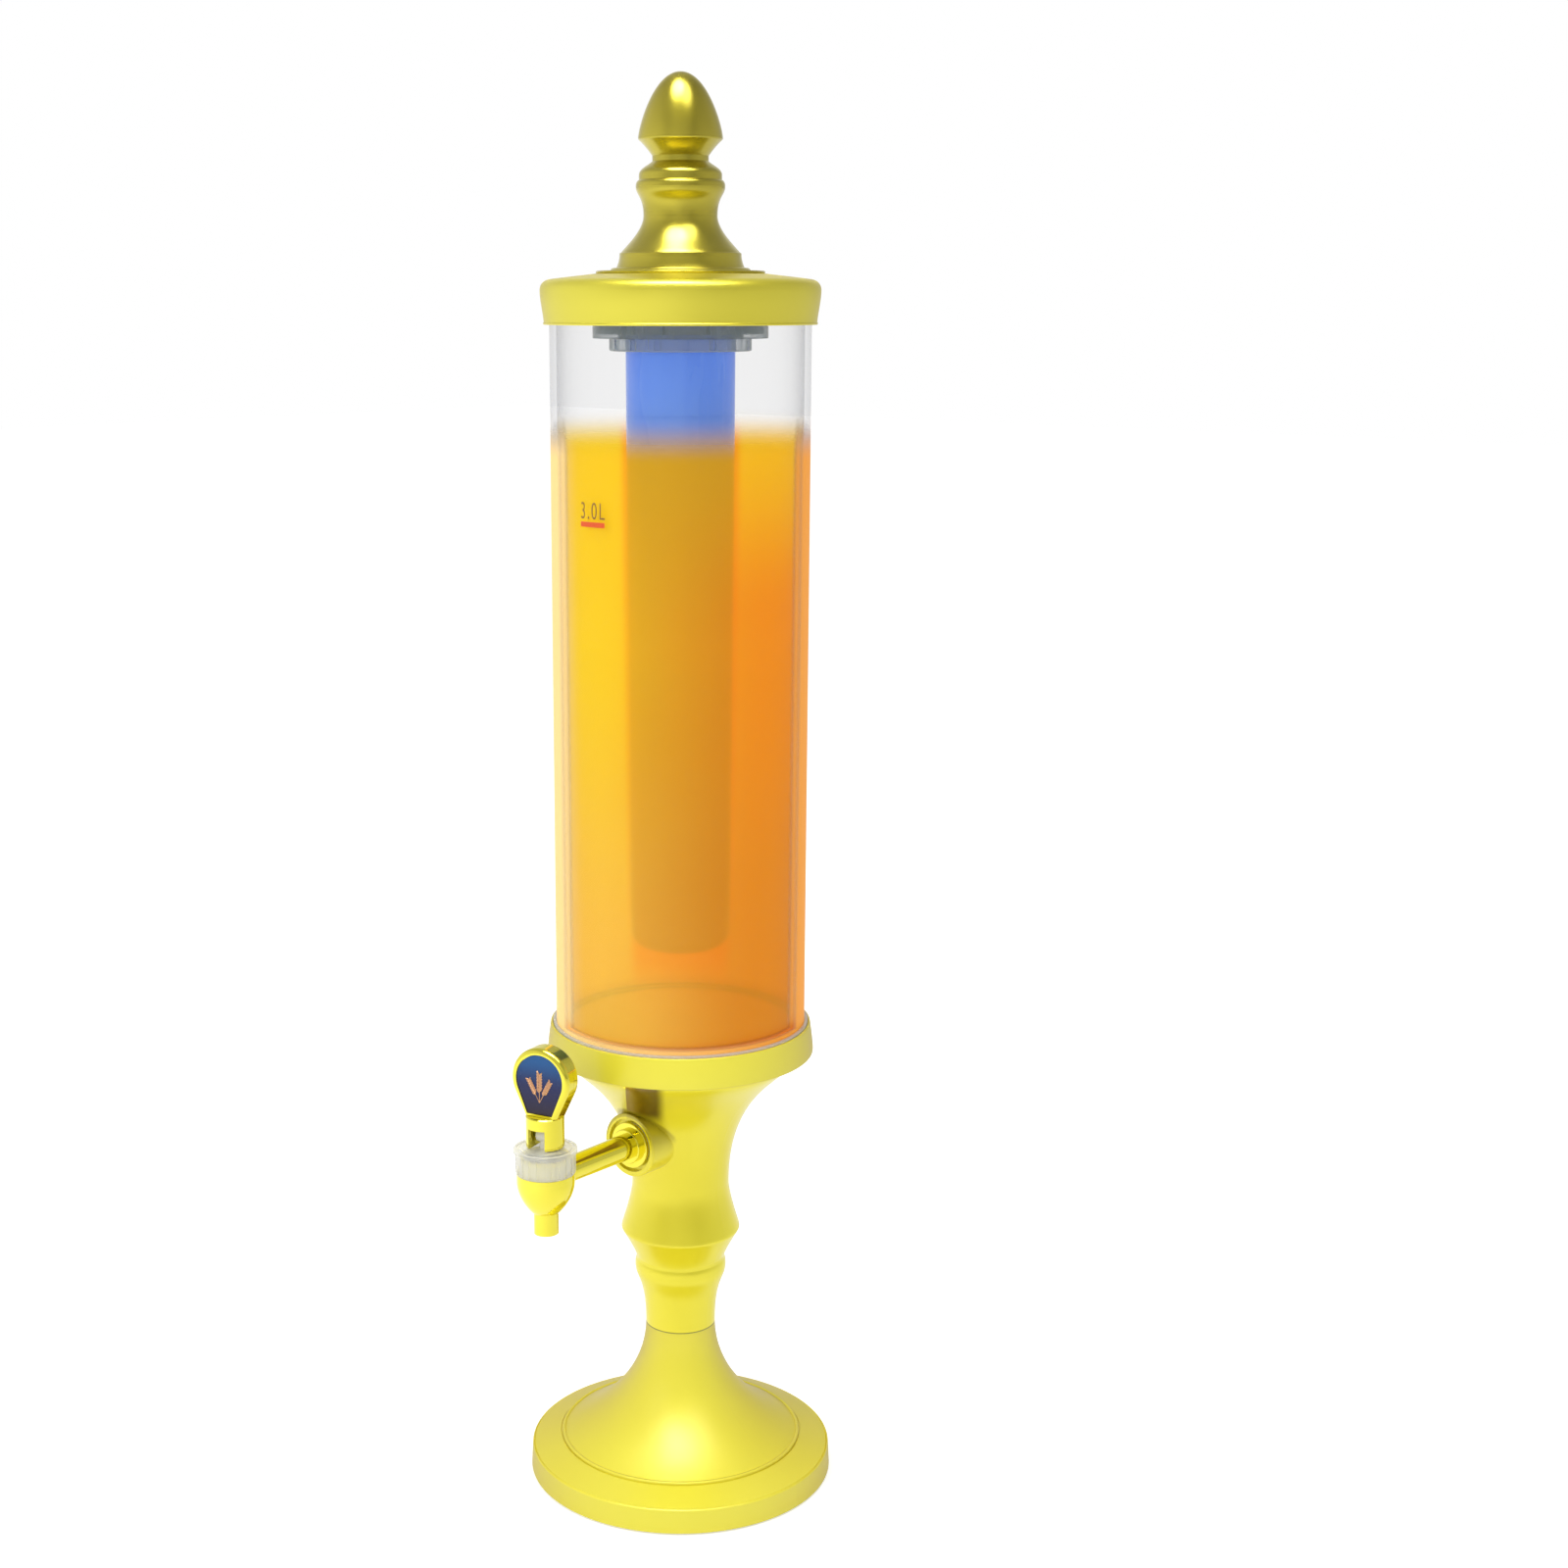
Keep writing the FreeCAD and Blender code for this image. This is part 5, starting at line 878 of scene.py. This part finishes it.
bar_flat = bpy.data.meshes.new("bar_flat")
half_length, half_width = BAR_LENGTH / 2, BAR_WIDTH / 2
bar_flat.from_pydata(
    [(-half_length, -half_width, 0), (half_length, -half_width, 0), (half_length, half_width, 0),
     (-half_length, half_width, 0)], [], [(0, 1, 2, 3)])

ink_brown = grained("ink_brown", srgb(128, 92, 34), srgb(146, 108, 44), 1500.0, 0.5, 0.005 * MM)
ink_red = grained("ink_red", srgb(226, 84, 28), srgb(238, 98, 36), 1500.0, 0.5, 0.005 * MM)
figure = add_piece(
    wrapped(figure_flat, "volume_figure", BAR_HEIGHT + FIGURE_RISE), ink_brown, "stand")
bar = add_piece(wrapped(bar_flat, "volume_bar", BAR_HEIGHT), ink_red, "stand")
print("mark faces:", len(figure.data.polygons), len(bar.data.polygons))

# %% [markdown]
# ## Wire and thread by Geometry Nodes
# A coil spring and a screw thread are the same shape: a section swept along a helix. A Screw modifier could
# make each, but one tree makes both, from its number of turns, radius, height and section. It ends in
# Realize Instances and Set Material, so the result can be turned into a plain mesh.

# %% Geometry tree helpers
def geometry_tree(name, inputs):
    """An empty Geometry Nodes tree with named inputs, and its input and output nodes."""
    tree = bpy.data.node_groups.new(name, "GeometryNodeTree")
    for label, (kind, value) in inputs.items():
        socket = tree.interface.new_socket(label, in_out="INPUT", socket_type="NodeSocket" + kind)
        if value is not None:
            socket.default_value = value
    tree.interface.new_socket("Geometry", in_out="OUTPUT", socket_type="NodeSocketGeometry")
    return tree, tree.nodes.new("NodeGroupInput"), tree.nodes.new("NodeGroupOutput")


def close_tree(tree, given, result, out):
    """Realizes, smooths and paints the tree's result."""
    real = place(tree, "GeometryNodeRealizeInstances", {0: result}).outputs[0]
    smooth = place(tree, "GeometryNodeSetShadeSmooth", {0: real}).outputs[0]
    painted = place(tree, "GeometryNodeSetMaterial", {0: smooth, "Material": given["Material"]})
    tree.links.new(painted.outputs[0], out.inputs[0])


print("geometry tree helpers ready")

# %% [markdown]
# ## The helix tree
# Blender has a Spiral curve, which is a helix when its two radii are the same. A small circle swept along
# it is the wire or the thread's crest. With no height it is a plain ring.

# %% Helix tree
helix, helix_in, helix_out = geometry_tree("helix", {
    "Turns": ("Float", 6.0), "Radius": ("Float", 0.01), "Height": ("Float", 0.01),
    "Section": ("Float", 0.0005), "Base": ("Vector", None), "Material": ("Material", None)})
given = helix_in.outputs
coil = place(helix, "GeometryNodeCurveSpiral", {
    "Resolution": 48, "Rotations": given["Turns"], "Start Radius": given["Radius"],
    "End Radius": given["Radius"], "Height": given["Height"]}).outputs[0]
moved = place(helix, "GeometryNodeTransform", {
    "Geometry": coil, "Translation": given["Base"]}).outputs[0]
section = place(helix, "GeometryNodeCurvePrimitiveCircle", {
    "Resolution": 10, "Radius": given["Section"]}).outputs[0]
swept = place(helix, "GeometryNodeCurveToMesh", {
    "Curve": moved, "Profile Curve": section, "Fill Caps": True}).outputs[0]
close_tree(helix, given, swept, helix_out)
print("tree:", helix.name, [s.name for s in helix.interface.items_tree])

# %% [markdown]
# ## From a tree to a plain mesh
# A modifier runs the tree on an empty holder. Its inputs are set by the sockets' identifiers before the
# first evaluation. The result is copied out as a plain mesh and the holder goes, so nothing live is left.
# Leaving the modifier on would be handier to edit, but a piece has to be finished before it rides.

# %% Build with a tree
def grown(name, tree, values):
    """Runs a Geometry Nodes tree with these inputs and returns its result as a plain mesh."""
    holder = bpy.data.objects.new(name, bpy.data.meshes.new(name + "_seed"))
    bpy.context.scene.collection.objects.link(holder)
    modifier = holder.modifiers.new("grow", "NODES")
    modifier.node_group = tree
    for item in tree.interface.items_tree:
        if item.in_out == "INPUT" and item.name in values:
            modifier[item.identifier] = values[item.name]
    holder.update_tag()
    bpy.context.view_layer.update()
    mesh = bpy.data.meshes.new_from_object(
        holder.evaluated_get(bpy.context.evaluated_depsgraph_get()))
    bpy.data.objects.remove(holder)
    mesh.name = name
    return mesh


print("growing helper ready")

# %% [markdown]
# ## The return spring
# A coil spring under the bonnet pushes the valve shut. The CAD model draws it as half rings set end to end.
# A true helix replaces that, in the same space. A shape key could squash it as the lever lifts the stem.

# %% Return spring
SPRING_TURNS = 6.0
SPRING_WIRE = 0.4 * MM

spring_low, spring_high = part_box("return_spring")
spring_radius = (spring_high.x - spring_low.x) / 2 - SPRING_WIRE
spring_length = spring_high.z - spring_low.z - 2 * SPRING_WIRE
spring_centre = (spring_low + spring_high) / 2
spring_mesh = grown("spring_wire", helix, {
    "Turns": SPRING_TURNS, "Radius": spring_radius, "Height": spring_length, "Section": SPRING_WIRE,
    "Base": (spring_centre.x, spring_centre.y, spring_low.z + SPRING_WIRE), "Material": steel})
spring = add_piece(spring_mesh, steel, "stand")
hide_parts("return_spring")
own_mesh(spring)
print("spring faces:", len(spring_mesh.polygons))

# %% [markdown]
# ## The bonnet's thread and the cement
# The clear bonnet shows a fine thread on the neck inside it, and two dark beads of cement show under the
# drink, where the tube is glued into its cup. Both are the helix tree with other numbers: four turns for
# the thread, and one turn with no height for a bead. Bump lines would look flat through the clear bonnet.

# %% Thread and cement
TAP_NECK_RADIUS = 12.3 * MM
THREAD_TURNS, THREAD_HEIGHT, THREAD_SECTION = 4.0, 6.4 * MM, 0.28 * MM
CEMENT_SECTION = 0.42 * MM
CEMENT_BEADS = [("cement_outer", 58.4 * MM, 1.8 * MM), ("cement_inner", 56.2 * MM, 0.5 * MM)]

bonnet_low, bonnet_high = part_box("bonnet_nut")
tap_axis = (bonnet_low + bonnet_high) / 2
thread_mesh = grown("neck_thread", helix, {
    "Turns": THREAD_TURNS, "Radius": TAP_NECK_RADIUS, "Height": THREAD_HEIGHT,
    "Section": THREAD_SECTION, "Base": (tap_axis.x, tap_axis.y, bonnet_low.z + 0.6 * MM),
    "Material": acetal})
add_piece(thread_mesh, acetal, "stand")
cement = grained("cement", srgb(44, 22, 2), srgb(60, 32, 6), 900.0, 0.6, 0.02 * MM)
for name, radius, rise in CEMENT_BEADS:
    bead = grown(name, helix, {
        "Turns": 1.0, "Radius": radius, "Height": 0.0, "Section": CEMENT_SECTION,
        "Base": (0, 0, DRINK_FLOOR + rise), "Material": cement})
    add_piece(bead, cement, "stand")
print("thread faces:", len(thread_mesh.polygons))

# %% [markdown]
# ## An ear of barley
# The badge is printed with three ears of barley in bronze foil. An ear is a stalk with grains set along it,
# leaning out to the left and to the right by turns. Modelling each grain by hand would fix their number. A
# tree that counts and places them makes a fuller ear from other numbers.

# %% Barley tree: one ear
barley, barley_in, barley_out = geometry_tree("barley", {
    "Ears": ("Int", 3), "Fan": ("Float", 0.42), "Grains": ("Int", 11), "Ear Length": ("Float", 0.008),
    "Stalk": ("Float", 0.005), "Grain": ("Float", 0.001), "Lean": ("Float", 0.55),
    "Turn": ("Float", 0.0), "Base": ("Vector", None), "Material": ("Material", None)})
given = barley_in.outputs


def axis_vector(tree, axis, value):
    """A vector with this value on one axis."""
    return place(tree, "ShaderNodeCombineXYZ", {axis: value}).outputs[0]


ear_top = axis_vector(barley, "Z", maths(barley, "ADD", given["Stalk"], given["Ear Length"]))
ear_line = place(barley, "GeometryNodeCurvePrimitiveLine", {
    "Start": axis_vector(barley, "Z", given["Stalk"]), "End": ear_top}).outputs[0]
spaced = place(barley, "GeometryNodeResampleCurve", {
    "Curve": ear_line, "Count": given["Grains"]}).outputs[0]
kernel = place(barley, "GeometryNodeMeshUVSphere", {
    "Segments": 12, "Rings": 8, "Radius": 1.0}).outputs[0]
kernel = place(barley, "GeometryNodeTransform", {
    "Geometry": kernel, "Translation": (0, 0, 0.9), "Scale": (0.42, 0.30, 1.0)}).outputs[0]
index = barley.nodes.new("GeometryNodeInputIndex").outputs[0]
left_or_right = maths(barley, "SUBTRACT", product(barley, maths(barley, "MODULO", index, 2.0), 2.0), 1.0)
kernels = place(barley, "GeometryNodeInstanceOnPoints", {
    "Points": spaced, "Instance": kernel, "Scale": given["Grain"],
    "Rotation": axis_vector(barley, "Y", product(barley, left_or_right, given["Lean"]))}).outputs[0]
stalk_line = place(barley, "GeometryNodeCurvePrimitiveLine", {"End": ear_top}).outputs[0]
stalk_section = place(barley, "GeometryNodeCurvePrimitiveCircle", {
    "Resolution": 8, "Radius": product(barley, given["Grain"], 0.16)}).outputs[0]
stalk = place(barley, "GeometryNodeCurveToMesh", {
    "Curve": stalk_line, "Profile Curve": stalk_section, "Fill Caps": True}).outputs[0]
ear = barley.nodes.new("GeometryNodeJoinGeometry")
for part in (kernels, stalk):
    barley.links.new(part, ear.inputs[0])
print("tree:", barley.name, "nodes so far:", len(barley.nodes))

# %% [markdown]
# ## The sheaf
# The ears fan out from one point, the outer ones a little shorter. They are instances of the one ear on as
# many points in the same place, each turned by its own share of the fan. Then the sheaf is turned to the
# badge and set on it, still inside the tree, because the finished piece has to stay at the origin.

# %% Barley tree: the sheaf
SHORTER_OUTWARDS = 0.14
roots = place(barley, "GeometryNodeMeshLine", {"Count": given["Ears"], "Offset": (0, 0, 0)}).outputs[0]
middle = maths(barley, "DIVIDE", maths(barley, "SUBTRACT", given["Ears"], 1.0), 2.0)
off_middle = maths(barley, "SUBTRACT", index, middle)
loss = product(barley, maths(barley, "ABSOLUTE", off_middle), SHORTER_OUTWARDS)
sheaf = place(barley, "GeometryNodeInstanceOnPoints", {
    "Points": roots, "Instance": ear.outputs[0],
    "Rotation": axis_vector(barley, "Y", product(barley, off_middle, given["Fan"])),
    "Scale": maths(barley, "SUBTRACT", 1.0, loss)}).outputs[0]
solid_sheaf = place(barley, "GeometryNodeRealizeInstances", {0: sheaf}).outputs[0]
set_sheaf = place(barley, "GeometryNodeTransform", {
    "Geometry": solid_sheaf, "Rotation": axis_vector(barley, "Z", given["Turn"]),
    "Translation": given["Base"]}).outputs[0]
close_tree(barley, given, set_sheaf, barley_out)
print("tree:", barley.name, "nodes:", len(barley.nodes))

# %% [markdown]
# ## The sheaf on its badge
# The badge stands square to the lever's own axis, so the joint's axis gives its sideways direction, and the
# foremost corner of its mesh gives its face. Read from the model in this way, the sheaf follows the badge if
# the paddle is ever redrawn.

# %% Set the sheaf on the badge
SHEAF_ROOT_SHARE = 0.20

tilt = next(joint for joint in frame["joints"] if joint["name"] == "lever_tilt")
badge_side = Vector(tilt["axis"]).normalized()
badge_front = Vector((badge_side.y, -badge_side.x, 0))
corners = [v.co for v in nodes["badge_front"].data.vertices]
face = max(co.dot(badge_front) for co in corners)
sides = [co.dot(badge_side) for co in corners]
badge_low, badge_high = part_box("badge_front")
root = badge_front * face + badge_side * (min(sides) + max(sides)) / 2
root.z = badge_low.z + SHEAF_ROOT_SHARE * (badge_high.z - badge_low.z)
foil = grained(
    "foil_bronze", srgb(190, 138, 98), srgb(226, 178, 138), 1800.0, 0.32, 0.004 * MM, 0.8)
sheaf_mesh = grown("badge_sheaf", barley, {
    "Ears": 3, "Fan": 0.5, "Grains": 13, "Ear Length": 8.6 * MM, "Stalk": 5.0 * MM,
    "Grain": 1.35 * MM, "Lean": 0.6, "Turn": math.atan2(badge_side.y, badge_side.x), "Base": root,
    "Material": foil})
add_piece(sheaf_mesh, foil, "lever")
print("sheaf faces:", len(sheaf_mesh.polygons), "at", [round(v / MM, 1) for v in root])

# %% [markdown]
# ## The floor
# A pale floor carries the tower's soft shadow. A brighter lamp would whiten it, but the gold would bleach
# too. So the floor glows a little instead, only for the rays that come from the camera or through clear
# plastic, and less in reflections, where a white floor would wash out the foot.

# %% Floor
FLOOR_HALF = 9.0
FLOOR_GLOW = 0.42
floor_mesh = bpy.data.meshes.new("floor")
floor_mesh.from_pydata(
    [(-FLOOR_HALF, -FLOOR_HALF, 0), (FLOOR_HALF, -FLOOR_HALF, 0), (FLOOR_HALF, FLOOR_HALF, 0),
     (-FLOOR_HALF, FLOOR_HALF, 0)], [], [(0, 1, 2, 3)])
floor_mesh.transform(Matrix.Translation((0, 0, -0.1 * MM)))
floor = bpy.data.objects.new("floor", floor_mesh)
bpy.context.scene.collection.objects.link(floor)


def ray_kinds(tree):
    """The mask of rays from the camera or through something clear, and the mask of mirrored rays."""
    path = tree.nodes.new("ShaderNodeLightPath").outputs
    straight = maths(tree, "MAXIMUM", path["Is Camera Ray"], path["Is Transmission Ray"])
    return straight, path["Is Glossy Ray"]


floor_material, tree, shader, where = new_material("studio_floor")
feed(tree, shader, {"Base Color": (0.9, 0.9, 0.9, 1), "Roughness": 0.9, "Specular IOR Level": 0.0})
straight, mirrored = ray_kinds(tree)
mirrored_glow = remap(tree, along(tree, where, RIGHT), -0.5, 0.5, 0.34, 0.06)
glow = place(tree, "ShaderNodeEmission", {"Strength": maths(
    tree, "MAXIMUM", product(tree, straight, FLOOR_GLOW), product(tree, mirrored, mirrored_glow))})
added = place(tree, "ShaderNodeAddShader", {0: shader.outputs[0], 1: glow.outputs[0]})
feed(tree, tree.nodes["Material Output"], {"Surface": added.outputs[0]})
floor_mesh.materials.append(floor_material)
print("floor", FLOOR_HALF * 2, "m wide")

# %% [markdown]
# ## The room in the reflections
# Polished metal shows the room that it stands in. The room could be built from cards and walls, which then
# block the lamps. A world shader paints it by direction instead. The walls dim towards the ceiling and to
# the right, a grey band runs low along the front, and two faint posts stand at its sides. These soft darks
# are what makes round metal look round.

# %% World: the walls
BAND_SHADE = 0.25
POSTS = [(-0.55, 0.30), (0.55, 0.25)]
POST_SHADE = 0.22

world = bpy.data.worlds.new("studio")
bpy.context.scene.world = world
world.use_nodes = True
tree = world.node_tree
tree.nodes.clear()
direction = tree.nodes.new("ShaderNodeTexCoord").outputs["Generated"]
up, sideways = along(tree, direction, UP), along(tree, direction, RIGHT)


def dimmed(tree, level, mask, shade):
    """level, darker by this share where the mask is 1."""
    return product(tree, level, maths(tree, "SUBTRACT", 1.0, product(tree, mask, shade)))


band = product(
    tree, remap(tree, up, -0.10, 0.0, smooth=True), remap(tree, up, 0.30, 0.10, smooth=True),
    remap(tree, along(tree, direction, FRONT), 0.1, 0.8, smooth=True))
level = dimmed(tree, remap(tree, up, 0.15, 0.75, 0.98, 0.72, smooth=True), band, BAND_SHADE)
for middle, half in POSTS:
    near = maths(tree, "DIVIDE", maths(tree, "ABSOLUTE", maths(tree, "SUBTRACT", sideways, middle)), half)
    post = maths(tree, "SUBTRACT", 1.0, maths(tree, "MINIMUM", near, 1.0))
    level = dimmed(tree, level, post, POST_SHADE)
level = product(tree, level, remap(tree, sideways, -0.7, 0.6, 0.96, 0.62))
print("walls ready")

# %% [markdown]
# ## Panels overhead
# Two bright panels hang overhead, and only reflections see them. They draw the white gleams on the lid, the
# acorn and the tap. The lamps could do that, but then their strength and the gleams' size would hang
# together. For the camera the room is plain white, and the light that it sheds is a little under that.

# %% World: the panels
PANELS = [(-26, 74, 14.0), (34, 66, 4.6)]
PANEL_EDGE, PANEL_CORE = math.cos(math.radians(21)), math.cos(math.radians(7))
SHED_LIGHT = 0.72


def toward(turn, rise):
    """The direction turn degrees right of the front, as seen from the tower, and rise degrees up."""
    angle, lift = QUARTER + math.radians(turn), math.radians(rise)
    return Vector((math.sin(angle) * math.cos(lift), -math.cos(angle) * math.cos(lift), math.sin(lift)))


for turn, rise, strength in PANELS:
    near = along(tree, direction, toward(turn, rise))
    panel = remap(tree, near, PANEL_EDGE, PANEL_CORE, smooth=True)
    level = maths(tree, "ADD", level, product(tree, panel, strength))
straight, mirrored = ray_kinds(tree)
strength = mixed(tree, straight, mixed(tree, mirrored, SHED_LIGHT, level), 1.0)
background = place(tree, "ShaderNodeBackground", {"Color": WHITE, "Strength": strength})
out = tree.nodes.new("ShaderNodeOutputWorld")
tree.links.new(background.outputs[0], out.inputs["Surface"])
print("world nodes:", len(tree.nodes))

# %% [markdown]
# ## Softboxes
# Product light is broad and soft, so its shadows have no edge. One big softbox hangs high on the left, one
# stands on the left, a weak one opens up the right side, and one behind draws a rim. Each is an area lamp
# that reflections don't see, because the world's panels already show there. A sun lamp would be simpler, but
# its shadow is hard.

# %% Softboxes
AIM = Vector((0, 0, 0.45))


def softbox(name, turn, rise, distance, size, power):
    """A round area lamp that faces the tower, in watts and metres."""
    data = bpy.data.lights.new(name, "AREA")
    data.shape = "ELLIPSE"
    data.size, data.size_y = size
    data.energy = power
    lamp = bpy.data.objects.new(name, data)
    away = toward(turn, rise)
    lamp.location = AIM + away * distance
    lamp.rotation_euler = (-away).to_track_quat("-Z", "Y").to_euler()
    lamp.visible_glossy = False
    bpy.context.scene.collection.objects.link(lamp)
    return lamp


lamps = [
    softbox("softbox_top", turn=-25, rise=72, distance=1.6, size=(1.1, 1.1), power=9.0),
    softbox("softbox_left", turn=-50, rise=30, distance=2.0, size=(1.3, 1.3), power=7.0),
    softbox("softbox_right", turn=62, rise=25, distance=2.0, size=(1.0, 1.0), power=0.4),
    softbox("softbox_back", turn=180, rise=45, distance=2.0, size=(1.2, 0.8), power=4.0),
]
bpy.context.scene.view_settings.view_transform = "Standard"
print("lamps:", [lamp.name for lamp in lamps])
